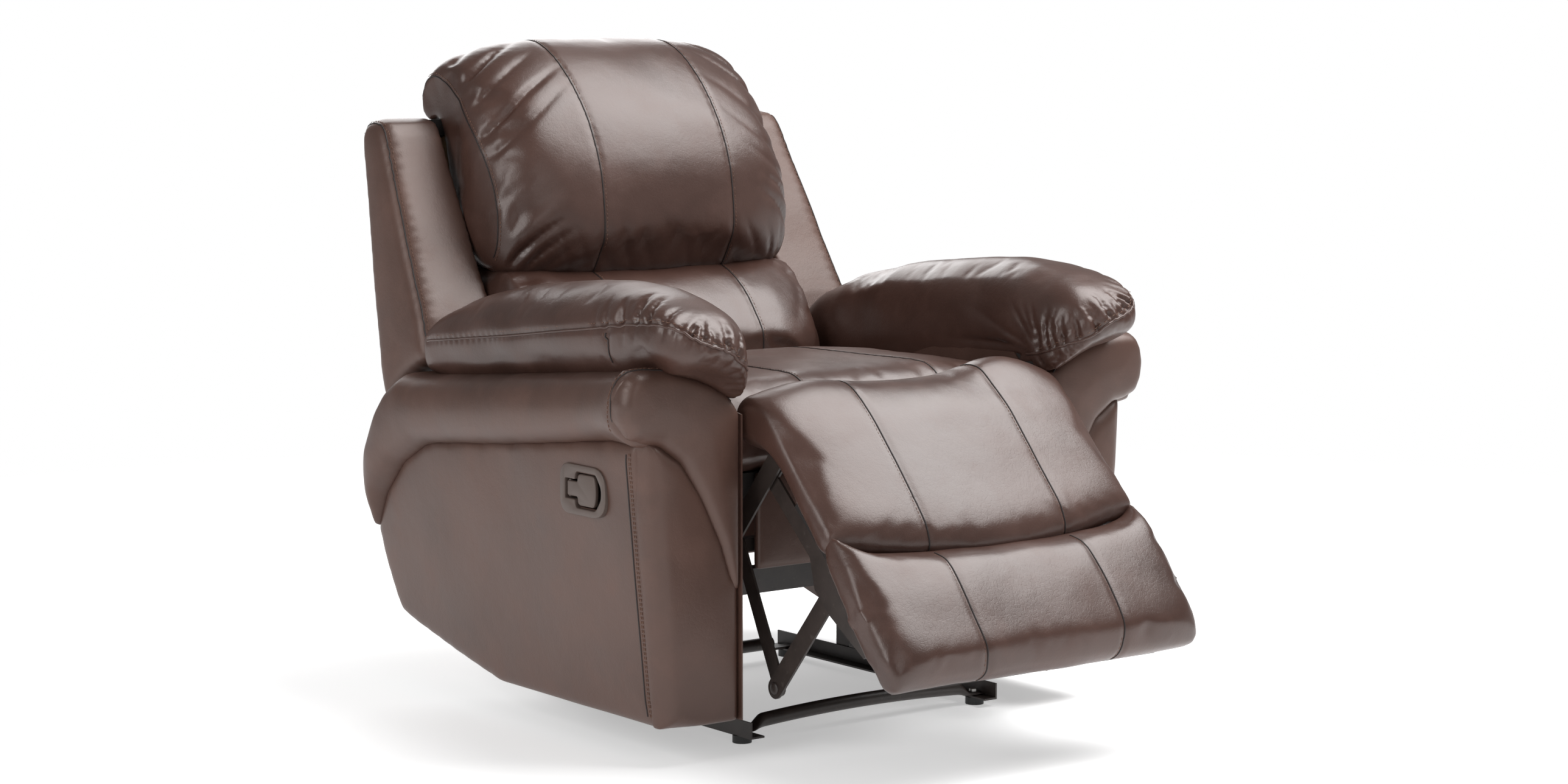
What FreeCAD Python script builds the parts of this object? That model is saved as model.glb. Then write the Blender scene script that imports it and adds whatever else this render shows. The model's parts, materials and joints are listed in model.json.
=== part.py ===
"""Recliner armchair: an upholstered chair whose back reclines and whose footrest swings out on a
steel linkage. Millimetres, +Z up. The chair faces -Y; the sitter's left is +X and the right is -X.
Sizes are written from a datum at the floor, on the centre line, level with the fronts of the arms;
the finished pieces are moved so that the origin is the middle of the chair's footprint."""
import FreeCAD
import Part
import math
import os

V = FreeCAD.Vector

# ---- driving dimensions -------------------------------------------------------------------------
# room between the arms
ARM_INNER = 305.0            # centre line to the inner face of an arm
CUSHION_GAP = 5.0            # moving cushions to the arms, each side
SEAT_SIDE_GAP = 7.0          # fixed seat cushion to the arms, each side

# arms
ARM_FRONT = 0.0              # front face of the front scroll
SCROLL_DEPTH = 45.0          # thickness of the padded front scroll
ARM_BOTTOM = 57.0            # underside of the arm above the floor
ARM_TOP = 592.0              # top of the arm body at its front, under the pillow
ARM_TOP_SLOPE = 0.10         # how fast that top falls towards the back
ARM_OUTER_FOOT = ARM_INNER + 135.0      # centre line to the outer face, at the bottom
ARM_OUTER_CREASE = ARM_INNER + 172.0    # the same at the crease under the shoulder roll
ROLL_OUTER = ARM_INNER + 200.0          # the same at the shoulder roll
SCROLL_OUTER = ARM_INNER + 205.0        # the same at the scroll, the widest point
CREASE_FRONT = 478.0         # height of the crease at the front
CREASE_BACK = 422.0          # height of the crease where it turns down
BOARD = 14.0                 # plywood in the arm frames
PILLOW_OUTER = ARM_INNER + 161.0        # centre line to the outer side of an arm pillow
PILLOW_TOP = ARM_TOP + 120.0 # highest point of an arm pillow
PILLOW_NOSE = -75.0          # how far the pillow hangs over the front of the arm
PILLOW_BACK = 646.0          # rear end of the pillow's flat underside

# release handle in the right arm
BEZEL_BACK = 225.0
BEZEL_FRONT = 105.0
BEZEL_LOW = 365.0
BEZEL_HIGH = 441.0
BEZEL_OUTER = ARM_OUTER_CREASE + 3.0    # centre line to the bezel's outer face
BEZEL_PLATE = 12.0
BEZEL_WALL = 3.0
BEZEL_RIM = 10.0             # flat rim round the finger cup
CUP_DEPTH = 34.0
PADDLE_THICK = 6.0
PADDLE_WIDE = 48.0           # length of the paddle's wide part
STUB_LENGTH = 28.0
STUB_TALL = 24.0
PADDLE_GAP = 4.0             # paddle to the cup's wall
FINGER_GAP = 19.0            # finger recess in front of the paddle
TRUNNION_RADIUS = 2.5

# back
LEAN = math.radians(16.4)    # lean of the back at rest
BACK_FOOT_Y = 759.7          # rear face of the back at the height BACK_FOOT_Z
BACK_FOOT_Z = 330.0
REAR_PANEL = 12.0            # fibreboard, wadding and cover at the rear of the back
REAR_PANEL_DROP = 175.0      # how far the rear panel hangs below BACK_FOOT_Z, along the lean
BACK_FRAME = 28.0            # depth of the wooden bars of the back
BACK_TOP = 615.0             # top of the back frame, along the lean from BACK_FOOT_Z
UPRIGHT_WIDTH = 41.0
BAR = 27.0                   # height of a wooden cross bar of the back
WING_INNER = ARM_INNER - 3.0
HEAD_FOOT = 311.6            # lower edge of the head cushion, along the lean
WING_OVER = 14.0             # top of the wings above the top of the back frame

# pivots of the mechanism: (Y, Z)
BACK_PIVOT = (600.0, 330.0)
KNEE_PIVOT = (-40.0, 470.0)      # where the footrest's hanger arms hang
CRANK_PIVOT = (95.0, 307.4)      # the torque tube and the drive links
FOOT_PIVOT = (-140.0, 265.4)     # the lift links' outer end, on the hanger arms
ARM_CLEAR_RADIUS = 222.0         # rear of the arms, about the back pivot
WING_CLEAR_RADIUS = 235.0        # lower edge of the wings, about the same pivot

# steel mechanism: plates stand in planes, outwards from the centre line
LINK_THICK = 4.0
LINK_PITCH = 1.875 * LINK_THICK
PLATE_PLANE = ARM_INNER - 43.0
HANGER_PLANE = PLATE_PLANE - LINK_PITCH
LIFT_PLANE = HANGER_PLANE - LINK_PITCH
DRIVE_PLANE = LIFT_PLANE - LINK_PITCH
PIN_RADIUS = 6.0
SMALL_PIN_RADIUS = 5.0
PIN_CLEARANCE = 0.1
TUBE_SIDE = 20.0             # square torque tube
TUBE_WALL = 2.0

# base
RAIL_OUTER = PLATE_PLANE - 15.0         # centre line to the upright flange of a base rail
RAIL_FLANGE = 26.0
RAIL_WALL = 3.0
RAIL_FRONT = 60.0
RAIL_BACK = 640.0
GLIDE_HEIGHT = 12.0
GLIDE_RADIUS = 15.0
CROSS_TUBE_RADIUS = 11.0
CROSS_TUBES_Y = (100.0, 600.0)
POSTS_Y = (240.0, 460.0)
POST_WIDTH = 36.0
POST_TOP = 320.0

# seat
SEAT_RAIL = 25.0             # thickness of the wooden seat rails
SEAT_RAIL_TOP = 420.0
SEAT_RAIL_FRONT = 72.0
SEAT_RAIL_BACK = 545.0
SEAT_RAIL_HEIGHT = 70.0
CROSS_RAIL_HEIGHT = 58.0
WIRE_RADIUS = 1.9            # zigzag springs
WIRE_REACH = 12.0            # half a straight run of a spring
SEAT_TOP = 548.0
SEAT_BACK = 505.0            # rear of the seat cushion's top
SEAT_TONGUE = 560.0          # rear of the cushion's lower lip, under the lumbar cushion
ROLL_HALF = HANGER_PLANE - 9.5          # half width of the foam roll between the hanger arms
FRONT_PANEL = 14.0

# footrest, along and across its two planes
PAD_HALF_THICK = 33.0        # calf cushion, each side of its middle plane
CALF_START = 62.0            # from the knee pivot to the calf cushion
CALF_END = 228.0
CALF_SLOPE = math.radians(43.0)      # below level, at rest
FOOT_LENGTH = 190.0
FOOT_THICK = 60.0
FOOT_SLOPE = math.radians(51.5)
FOOT_BOARD = 15.0
CALF_BOARD = 12.0

# fasteners
BOLT_RADIUS = 4.0
BOLT_HEIGHT = 402.0
BOLTS_Y = (150.0, 450.0)
HOLE_CLEARANCE = 0.2


# ---- shape helpers ------------------------------------------------------------------------------
def block(x0, x1, y0, y1, z0, z1):
    """A box between two corners."""
    return Part.makeBox(x1 - x0, y1 - y0, z1 - z0, V(x0, y0, z0))


def outline(points, place):
    """A closed wire through points. A pair of points in the list is an arc: through the first, to
    the second. place turns a flat point into one in space."""
    edges = []
    start = points[0]
    here = start
    for item in points[1:] + [start]:
        is_arc = isinstance(item[0], tuple)
        goal = item[1] if is_arc else item
        if is_arc:
            edges.append(Part.Arc(place(here), place(item[0]), place(goal)).toShape())
        elif math.dist(here, goal) > 1e-6:
            edges.append(Part.makeLine(place(here), place(goal)))
        here = goal
    return Part.Wire(edges)


def side_shape(points, x0, x1):
    """An outline of (Y, Z) points, pulled from x0 to x1."""
    face = Part.Face(outline(points, lambda p: V(x0, p[0], p[1])))
    return face.extrude(V(x1 - x0, 0, 0))


def front_shape(points, y0, y1):
    """An outline of (X, Z) points, pulled from y0 to y1."""
    face = Part.Face(outline(points, lambda p: V(p[0], y0, p[1])))
    return face.extrude(V(0, y1 - y0, 0))


def rod_x(centre, radius, x0, x1):
    """A round rod along X, at a (Y, Z) centre."""
    return Part.makeCylinder(radius, x1 - x0, V(x0, centre[0], centre[1]), V(1, 0, 0))


def strap(a, b, radius, x0, x1):
    """A flat link with round ends between two (Y, Z) pivots."""
    length = math.dist(a, b)
    side = (-(b[1] - a[1]) / length * radius, (b[0] - a[0]) / length * radius)
    middle = side_shape(
        [
            (a[0] + side[0], a[1] + side[1]),
            (b[0] + side[0], b[1] + side[1]),
            (b[0] - side[0], b[1] - side[1]),
            (a[0] - side[0], a[1] - side[1]),
        ],
        x0,
        x1,
    )
    return middle.fuse([rod_x(a, radius, x0, x1), rod_x(b, radius, x0, x1)]).removeSplitter()


def mirrored(shape):
    """The same piece on the other side of the chair."""
    return shape.mirror(V(0, 0, 0), V(1, 0, 0))


def zigzag_wire(start, along, across, runs, pitch, reach):
    """A sinuous spring: straight runs along `across`, joined by half-round bends."""
    edges = []
    here = start - across * reach
    way = 1
    for i in range(runs):
        there = here + across * (2 * reach * way)
        edges.append(Part.makeLine(here, there))
        if i < runs - 1:
            turn = there + along * pitch
            bulge = there + along * (pitch / 2) + across * (way * pitch / 2)
            edges.append(Part.Arc(there, bulge, turn).toShape())
            here = turn
        way = -way
    first = start - across * reach
    section = Part.Wire([Part.makeCircle(WIRE_RADIUS, first, across)])
    return Part.Wire(edges).makePipeShell([section], True, True)


def on_back(t, n):
    """(Y, Z) of a point t up the back's lean and n in front of its rear face."""
    y = BACK_FOOT_Y + t * math.sin(LEAN) - n * math.cos(LEAN)
    z = BACK_FOOT_Z + t * math.cos(LEAN) + n * math.sin(LEAN)
    return (y, z)


def on_calf(s, n):
    """(Y, Z) of a point s down the calf plane from the knee pivot and n above that plane."""
    y = KNEE_PIVOT[0] - s * math.cos(CALF_SLOPE) - n * math.sin(CALF_SLOPE)
    z = KNEE_PIVOT[1] - s * math.sin(CALF_SLOPE) + n * math.cos(CALF_SLOPE)
    return (y, z)


FOOT_CORNER = on_calf(CALF_END + 10.1, 30.6)     # upper front edge of the foot cushion


def on_foot(s, depth):
    """(Y, Z) of a point s down the face of the foot cushion and depth behind it."""
    y = FOOT_CORNER[0] - s * math.cos(FOOT_SLOPE) + depth * math.sin(FOOT_SLOPE)
    z = FOOT_CORNER[1] - s * math.sin(FOOT_SLOPE) - depth * math.cos(FOOT_SLOPE)
    return (y, z)


def about_back_pivot(radius, degrees):
    """(Y, Z) of a point on a circle about the back pivot; 0 degrees points to the rear."""
    angle = math.radians(degrees)
    return (BACK_PIVOT[0] + radius * math.cos(angle), BACK_PIVOT[1] + radius * math.sin(angle))


def arm_top(y):
    """Height of the arm body's top at y."""
    return ARM_TOP - ARM_TOP_SLOPE * y


def arm_heel(y, radius):
    """(Y, Z) of the arm body's rear upper corner, kept inside a circle about the back pivot."""
    clear = BACK_PIVOT[1] + math.sqrt(radius**2 - (y - BACK_PIVOT[0]) ** 2)
    return (y, min(arm_top(y), clear))


# where the drive link meets the lift link: the linkage is a parallelogram
ELBOW = (
    CRANK_PIVOT[0] + FOOT_PIVOT[0] - KNEE_PIVOT[0],
    CRANK_PIVOT[1] + FOOT_PIVOT[1] - KNEE_PIVOT[1],
)
SEAT_HALF = ARM_INNER - SEAT_SIDE_GAP
CUSHION_HALF = ARM_INNER - CUSHION_GAP
BOARD_HALF = HANGER_PLANE + LINK_THICK
PLATE_OUTER = PLATE_PLANE + LINK_THICK
BACK_REAR, BACK_HIGH = on_back(BACK_TOP, 0)
nodes = {}


# ---- base ---------------------------------------------------------------------------------------
def base_rail():
    low = GLIDE_HEIGHT
    upright = block(RAIL_OUTER - RAIL_WALL, RAIL_OUTER, RAIL_FRONT, RAIL_BACK, low, low + RAIL_FLANGE)
    flat = block(RAIL_OUTER - RAIL_FLANGE, RAIL_OUTER, RAIL_FRONT, RAIL_BACK, low, low + RAIL_WALL)
    return upright.fuse(flat).removeSplitter()


def cross_tube(y):
    """A round tube with flattened ends that lie on the base rails."""
    low = GLIDE_HEIGHT + RAIL_WALL
    end = RAIL_OUTER - RAIL_WALL
    tab = 45.0
    tube = rod_x((y, low + CROSS_TUBE_RADIUS), CROSS_TUBE_RADIUS, -end + tab, end - tab)
    inner = rod_x((y, low + CROSS_TUBE_RADIUS), CROSS_TUBE_RADIUS - TUBE_WALL, -end + tab, end - tab)
    flat_end = block(end - tab - 6, end, y - CROSS_TUBE_RADIUS, y + CROSS_TUBE_RADIUS, low, low + 4)
    tube = tube.cut(inner)
    return tube.fuse([flat_end, mirrored(flat_end)]).removeSplitter()


def glides():
    middle = RAIL_OUTER - RAIL_FLANGE / 2
    feet = []
    for y in CROSS_TUBES_Y:
        foot = Part.makeCylinder(GLIDE_RADIUS, GLIDE_HEIGHT, V(middle, y, 0))
        feet += [foot, mirrored(foot)]
    return Part.makeCompound(feet)


def posts():
    pieces = []
    for y in POSTS_Y:
        post = block(RAIL_OUTER, PLATE_PLANE, y - POST_WIDTH / 2, y + POST_WIDTH / 2, GLIDE_HEIGHT, POST_TOP)
        pieces += [post, mirrored(post)]
    return Part.makeCompound(pieces)


def cross_member():
    """A box tube between the front posts."""
    y = POSTS_Y[0]
    outer = block(-RAIL_OUTER, RAIL_OUTER, y - 15, y + 15, 200, 240)
    wall = TUBE_WALL
    inner = block(-RAIL_OUTER, RAIL_OUTER, y - 15 + wall, y + 15 - wall, 200 + wall, 240 - wall)
    return outer.cut(inner)


def side_plate():
    """The fixed plate of the mechanism, with a nose that reaches forward to the knee pivot."""
    plate = block(PLATE_PLANE, PLATE_OUTER, 80, 560, 285, 385)
    tail = strap((555, 330), BACK_PIVOT, 22, PLATE_PLANE, PLATE_OUTER)
    nose = strap(CRANK_PIVOT, KNEE_PIVOT, 16, PLATE_PLANE, PLATE_OUTER)
    notch = block(PLATE_PLANE, PLATE_OUTER, 75, 112, 345, 390)
    plate = plate.cut(notch).fuse([tail, nose]).removeSplitter()
    for pivot in (BACK_PIVOT, KNEE_PIVOT, CRANK_PIVOT):
        plate = plate.cut(rod_x(pivot, PIN_RADIUS + PIN_CLEARANCE, PLATE_PLANE, PLATE_OUTER))
    return plate


rail = base_rail()
nodes["base_rail_left"] = rail
nodes["base_rail_right"] = mirrored(rail)
nodes["front_cross_tube"] = cross_tube(CROSS_TUBES_Y[0])
nodes["rear_cross_tube"] = cross_tube(CROSS_TUBES_Y[1])
nodes["floor_glides"] = glides()
nodes["base_posts"] = posts()
nodes["base_cross_member"] = cross_member()
plate = side_plate()
nodes["side_plate_left"] = plate
nodes["side_plate_right"] = mirrored(plate)


# ---- seat ---------------------------------------------------------------------------------------
def seat_side_rail():
    low = SEAT_RAIL_TOP - SEAT_RAIL_HEIGHT
    rail = block(PLATE_OUTER, PLATE_OUTER + SEAT_RAIL, SEAT_RAIL_FRONT, SEAT_RAIL_BACK, low, SEAT_RAIL_TOP)
    for y in BOLTS_Y:
        hole = BOLT_RADIUS + HOLE_CLEARANCE
        rail = rail.cut(rod_x((y, BOLT_HEIGHT), hole, PLATE_OUTER, PLATE_OUTER + SEAT_RAIL))
    return rail


def seat_cross_rail(y0, half):
    low = SEAT_RAIL_TOP - CROSS_RAIL_HEIGHT
    return block(-half, half, y0, y0 + SEAT_RAIL, low, SEAT_RAIL_TOP)


def seat_springs():
    pitch = 35.0
    first = SEAT_RAIL_FRONT + 8
    runs = int((SEAT_RAIL_BACK - 8 - first) / pitch) + 1
    spacing = (PLATE_PLANE - 62) / 2
    springs = []
    for i in range(-2, 3):
        start = V(i * spacing, first, SEAT_RAIL_TOP + WIRE_RADIUS)
        springs.append(zigzag_wire(start, V(0, 1, 0), V(1, 0, 0), runs, pitch, WIRE_REACH))
    return Part.makeCompound(springs)


def seat_cushion():
    low = SEAT_RAIL_TOP + 2 * WIRE_RADIUS + 0.2
    points = [
        (45, low),
        (SEAT_TONGUE, low),
        ((SEAT_TONGUE + 4, low + 25), (SEAT_TONGUE - 8, low + 50)),
        (SEAT_BACK + 2, low + 52),
        (SEAT_BACK, SEAT_TOP - 22),
        ((SEAT_BACK - 8, SEAT_TOP - 6), (SEAT_BACK - 24, SEAT_TOP)),
        (45, SEAT_TOP),
    ]
    return side_shape(points, -SEAT_HALF, SEAT_HALF)


def seat_front_roll():
    """Foam roll at the front edge of the seat, between the hanger arms."""
    y, z = KNEE_PIVOT
    low = SEAT_RAIL_TOP + 2 * WIRE_RADIUS + 0.2
    points = [
        (45, low),
        (45, SEAT_TOP),
        (y + 20, SEAT_TOP + 2),
        ((y - 35, z + 57), (y - 57, z + 5)),
        ((y - 44, z - 38), (y, z - 56)),
        (y + 40, z - 54),
    ]
    return side_shape(points, -ROLL_HALF, ROLL_HALF)


def front_panel():
    """Covered board that closes the front under the seat, with a slot for each pair of links."""
    y0 = SEAT_RAIL_FRONT - FRONT_PANEL
    slot_inner = DRIVE_PLANE - 3.5
    slot_outer = PLATE_OUTER + 5
    middle = block(-slot_inner, slot_inner, y0, SEAT_RAIL_FRONT, 275, SEAT_RAIL_TOP)
    side = block(slot_outer, SEAT_HALF, y0, SEAT_RAIL_FRONT, 275, SEAT_RAIL_TOP)
    return Part.makeCompound([middle, side, mirrored(side)])


rail = seat_side_rail()
nodes["seat_side_rail_left"] = rail
nodes["seat_side_rail_right"] = mirrored(rail)
nodes["seat_front_rail"] = seat_cross_rail(SEAT_RAIL_FRONT, PLATE_OUTER)
nodes["seat_rear_rail"] = seat_cross_rail(SEAT_RAIL_BACK - SEAT_RAIL, PLATE_PLANE)
nodes["seat_springs"] = seat_springs()
nodes["seat_cushion"] = seat_cushion()
nodes["seat_front_roll"] = seat_front_roll()
nodes["seat_front_panel"] = front_panel()


# ---- arms ---------------------------------------------------------------------------------------
def arm_inner_board():
    radius = ARM_CLEAR_RADIUS - 8
    top = about_back_pivot(radius, 66)
    points = [
        (SCROLL_DEPTH, ARM_BOTTOM + 3),
        (474, ARM_BOTTOM + 3),
        (735, 130),
        ((785, 215), about_back_pivot(radius, 0)),
        (about_back_pivot(radius, 33), top),
        arm_heel(PILLOW_BACK, radius),
        (PILLOW_BACK, arm_top(PILLOW_BACK)),
        (SCROLL_DEPTH, arm_top(SCROLL_DEPTH)),
    ]
    board = side_shape(points, ARM_INNER + 1, ARM_INNER + 1 + BOARD)
    for y in BOLTS_Y:
        hole = rod_x((y, BOLT_HEIGHT), BOLT_RADIUS + HOLE_CLEARANCE, ARM_INNER, ARM_INNER + 20)
        board = board.cut(hole)
    return board


def crease_line():
    """The crease under the shoulder roll, from the front to the notch at the rear."""
    return [
        (SCROLL_DEPTH, CREASE_FRONT),
        (100, CREASE_FRONT),
        (610, CREASE_BACK),
        ((726, 372), (804, 264)),
    ]


def arm_side_panel():
    """Padded outer panel, cut to the slope of the arm's outer face."""
    points = [(SCROLL_DEPTH, ARM_BOTTOM), (474, ARM_BOTTOM), (720, 118), ((776, 170), (804, 264))]
    crease = crease_line()
    points += [((726, 372), (610, CREASE_BACK)), crease[1], crease[0]]
    inner = ARM_INNER + 120
    section = [
        (inner, ARM_BOTTOM),
        (ARM_OUTER_FOOT, ARM_BOTTOM),
        (ARM_OUTER_CREASE, 440),
        (ARM_OUTER_CREASE, CREASE_FRONT),
        (inner, CREASE_FRONT),
    ]
    panel = side_shape(points, inner, ARM_OUTER_CREASE + 5)
    return panel.common(front_shape(section, 0, 900))


def arm_shoulder_roll():
    """Padded roll that runs back along the arm and turns down at its rear."""
    radius = ARM_CLEAR_RADIUS
    inner = ARM_INNER + 1 + BOARD
    points = crease_line() + [
        (826, 262),
        about_back_pivot(radius, 3),
        (about_back_pivot(radius, 34), about_back_pivot(radius, 65)),
        arm_heel(650, radius),
        (650, arm_top(650)),
        (SCROLL_DEPTH, arm_top(SCROLL_DEPTH)),
    ]
    section = [
        (inner, 255),
        (ARM_OUTER_CREASE, 255),
        (ROLL_OUTER - 8, 330),
        (ROLL_OUTER - 8, 470),
        ((ROLL_OUTER, 530), (ROLL_OUTER - 12, 570)),
        (ROLL_OUTER - 35, ARM_TOP),
        (inner, ARM_TOP),
    ]
    roll = side_shape(points, inner, ROLL_OUTER + 5)
    return roll.common(front_shape(section, 0, 900))


def scroll_outline():
    """Front view of the scroll: its top falls away towards the seat."""
    return [
        (ARM_INNER, ARM_BOTTOM),
        (ARM_OUTER_FOOT, ARM_BOTTOM),
        (ARM_OUTER_CREASE - 8, 380),
        (ARM_OUTER_CREASE - 5, 482),
        ((SCROLL_OUTER - 10, 497), (SCROLL_OUTER, 545)),
        ((SCROLL_OUTER - 9, 583), (SCROLL_OUTER - 42, ARM_TOP + 6)),
        (ARM_INNER + 120, ARM_TOP + 3),
        ((ARM_INNER + 48, ARM_TOP - 24), (ARM_INNER, ARM_TOP - 74)),
    ]


def arm_front_scroll():
    return front_shape(scroll_outline(), ARM_FRONT, SCROLL_DEPTH)


def arm_pillow():
    low = ARM_TOP + 6
    points = [
        (SCROLL_DEPTH, low - 80),
        (SCROLL_DEPTH, arm_top(SCROLL_DEPTH)),
        (PILLOW_BACK, arm_top(PILLOW_BACK)),
        (PILLOW_BACK + 17, low),
        ((545, PILLOW_TOP - 45), (300, PILLOW_TOP - 6)),
        ((120, PILLOW_TOP), (-20, PILLOW_TOP - 10)),
        ((PILLOW_NOSE + 8, low + 92), (PILLOW_NOSE, low + 64)),
        ((PILLOW_NOSE + 8, low + 10), (PILLOW_NOSE + 36, low - 50)),
        (-8, low - 80),
    ]
    nose_rest = front_shape(scroll_outline(), PILLOW_NOSE - 5, SCROLL_DEPTH)
    return side_shape(points, ARM_INNER, PILLOW_OUTER).cut(nose_rest)


def arm_front_board():
    x0 = ARM_INNER + 1 + BOARD
    return block(x0, ARM_INNER + 120, SCROLL_DEPTH, SCROLL_DEPTH + BOARD, ARM_BOTTOM + 3, CREASE_FRONT - 3)


def arm_top_board():
    x0 = ARM_INNER + 1 + BOARD
    return block(x0, ARM_INNER + 120, SCROLL_DEPTH + BOARD, 500, CREASE_BACK - 8, CREASE_BACK + 8)


def bezel_pocket():
    """Room for the bezel and its cup in the arm's outer panel."""
    gap = 0.5
    plate = block(
        BEZEL_OUTER - BEZEL_PLATE - gap, BEZEL_OUTER, BEZEL_FRONT - gap, BEZEL_BACK + gap,
        BEZEL_LOW - gap, BEZEL_HIGH + gap,
    )
    rim = BEZEL_RIM - BEZEL_WALL - gap
    cup = block(
        BEZEL_OUTER - CUP_DEPTH - BEZEL_WALL - gap, BEZEL_OUTER, BEZEL_FRONT + rim, BEZEL_BACK - rim,
        BEZEL_LOW + rim, BEZEL_HIGH - rim,
    )
    return plate.fuse(cup)


inner_board = arm_inner_board()
side_panel = arm_side_panel()
arm_pieces = {
    "arm_inner_board": inner_board,
    "arm_front_board": arm_front_board(),
    "arm_top_board": arm_top_board(),
    "arm_side_panel": side_panel,
    "arm_shoulder_roll": arm_shoulder_roll(),
    "arm_front_scroll": arm_front_scroll(),
    "arm_pillow": arm_pillow(),
}
for name, shape in arm_pieces.items():
    nodes[name + "_left"] = shape
    nodes[name + "_right"] = mirrored(shape)
nodes["arm_side_panel_right"] = mirrored(side_panel.cut(bezel_pocket()))


def arm_bolts():
    """Bolts through the seat rails into the arms' inner boards, with their heads and nuts."""
    board = ARM_INNER + 1 + BOARD
    bolts = []
    for y in BOLTS_Y:
        centre = (y, BOLT_HEIGHT)
        shank = rod_x(centre, BOLT_RADIUS, PLATE_OUTER, board + 6)
        head = rod_x(centre, 2 * BOLT_RADIUS, PLATE_OUTER - 4, PLATE_OUTER)
        nut = rod_x(centre, 1.7 * BOLT_RADIUS, board, board + 6)
        bolt = shank.fuse([head, nut]).removeSplitter()
        bolts += [bolt, mirrored(bolt)]
    return Part.makeCompound(bolts)


nodes["arm_bolts"] = arm_bolts()


# ---- release handle -----------------------------------------------------------------------------
CUP_FRONT = BEZEL_FRONT + BEZEL_RIM
CUP_BACK = BEZEL_BACK - BEZEL_RIM
CUP_LOW = BEZEL_LOW + BEZEL_RIM
CUP_HIGH = BEZEL_HIGH - BEZEL_RIM
PADDLE_FRONT = CUP_FRONT + FINGER_GAP
PADDLE_AXIS_Y = PADDLE_FRONT + PADDLE_WIDE + STUB_LENGTH - 4
PADDLE_OUTER = BEZEL_OUTER - 3
HANDLE_MID = (BEZEL_LOW + BEZEL_HIGH) / 2


def handle_bezel():
    """A rounded plate with an open cup behind it."""
    plate = block(
        BEZEL_OUTER - BEZEL_PLATE, BEZEL_OUTER, BEZEL_FRONT, BEZEL_BACK, BEZEL_LOW, BEZEL_HIGH
    )
    corners = [e for e in plate.Edges if abs(e.tangentAt(e.FirstParameter).x) > 0.9]
    plate = plate.makeFillet(24.0, corners)
    wall = BEZEL_WALL
    cup = block(
        BEZEL_OUTER - CUP_DEPTH - wall, BEZEL_OUTER - BEZEL_PLATE, CUP_FRONT - wall, CUP_BACK + wall,
        CUP_LOW - wall, CUP_HIGH + wall,
    )
    room = block(BEZEL_OUTER - CUP_DEPTH, BEZEL_OUTER + 1, CUP_FRONT, CUP_BACK, CUP_LOW, CUP_HIGH)
    return plate.fuse(cup).cut(room).removeSplitter()


def release_paddle():
    """A T-shaped paddle that turns on an upright pin at the end of its stub."""
    x0 = PADDLE_OUTER - PADDLE_THICK
    wide = block(
        x0, PADDLE_OUTER, PADDLE_FRONT, PADDLE_FRONT + PADDLE_WIDE, CUP_LOW + PADDLE_GAP,
        CUP_HIGH - PADDLE_GAP,
    )
    stub = block(
        x0, PADDLE_OUTER, PADDLE_FRONT + PADDLE_WIDE, PADDLE_AXIS_Y, HANDLE_MID - STUB_TALL / 2,
        HANDLE_MID + STUB_TALL / 2,
    )
    middle_x = PADDLE_OUTER - PADDLE_THICK / 2
    barrel = Part.makeCylinder(4.0, STUB_TALL, V(middle_x, PADDLE_AXIS_Y, HANDLE_MID - STUB_TALL / 2))
    pin_low = CUP_LOW + 0.3
    pin_tall = CUP_HIGH - CUP_LOW - 0.6
    pin = Part.makeCylinder(TRUNNION_RADIUS, pin_tall, V(middle_x, PADDLE_AXIS_Y, pin_low))
    return wide.fuse([stub, barrel, pin]).removeSplitter()


nodes["handle_bezel"] = mirrored(handle_bezel())
nodes["release_paddle"] = mirrored(release_paddle())

LATCH_PIVOT = (172.0, 332.0)
LATCH_TIP = (122.0, 330.0)


def latch_pawl():
    """The pawl that the release handle lifts, beside the torque tube."""
    inner = PLATE_PLANE - 7
    pawl = strap(LATCH_PIVOT, LATCH_TIP, 9, inner, inner + LINK_THICK)
    return pawl.fuse(rod_x(LATCH_PIVOT, SMALL_PIN_RADIUS, inner, PLATE_PLANE - 0.2))


nodes["latch_pawl"] = mirrored(latch_pawl())


# ---- back ---------------------------------------------------------------------------------------
FRAME_BACK = REAR_PANEL
FRAME_FACE = REAR_PANEL + BACK_FRAME
PAD_BACK = FRAME_FACE + 2 * WIRE_RADIUS + 0.2
UPRIGHT_OUTER = PLATE_OUTER + 1.5


def back_bar(t0, t1, n0, n1, x0, x1):
    """A straight bar of the back, square to its lean."""
    points = [on_back(t0, n0), on_back(t1, n0), on_back(t1, n1), on_back(t0, n1)]
    return side_shape(points, x0, x1)


def back_springs():
    slope = math.sin(LEAN)
    rise = math.cos(LEAN)
    up = V(0, slope, rise)
    springs = []
    runs = 13
    pitch = (2 * UPRIGHT_INNER + 3) / (runs - 1)
    for t in (180.0, 265.0, 410.0, 500.0):
        y, z = on_back(t, FRAME_FACE + WIRE_RADIUS)
        start = V(-(runs - 1) * pitch / 2, y, z)
        springs.append(zigzag_wire(start, V(1, 0, 0), up, runs, pitch, WIRE_REACH))
    return Part.makeCompound(springs)


def wing():
    """Padded side of the back: its lower edge is round about the back pivot."""
    front = about_back_pivot(WING_CLEAR_RADIUS, 75.2)
    lowest = on_back(132.7, 0)
    top_rear = on_back(BACK_TOP - 15, 0)
    rise = BACK_HIGH + WING_OVER
    points = [
        front,
        (about_back_pivot(WING_CLEAR_RADIUS, 53), lowest),
        top_rear,
        ((top_rear[0] - 12, rise - 6), (top_rear[0] - 42, rise)),
        ((BACK_REAR - 71.3, rise - 4), (BACK_REAR - 88.3, rise - 22)),
        (BACK_REAR - 146.3, rise - 134),
        (688, 620),
    ]
    section = [
        (WING_INNER, 440),
        (WING_INNER + 153, 440),
        (WING_INNER + 136, 620),
        (WING_INNER + 113, rise - 134),
        (WING_INNER + 96, rise + 2),
        (WING_INNER, rise + 2),
    ]
    return side_shape(points, WING_INNER, WING_INNER + 158).common(front_shape(section, 0, 1200))


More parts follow.
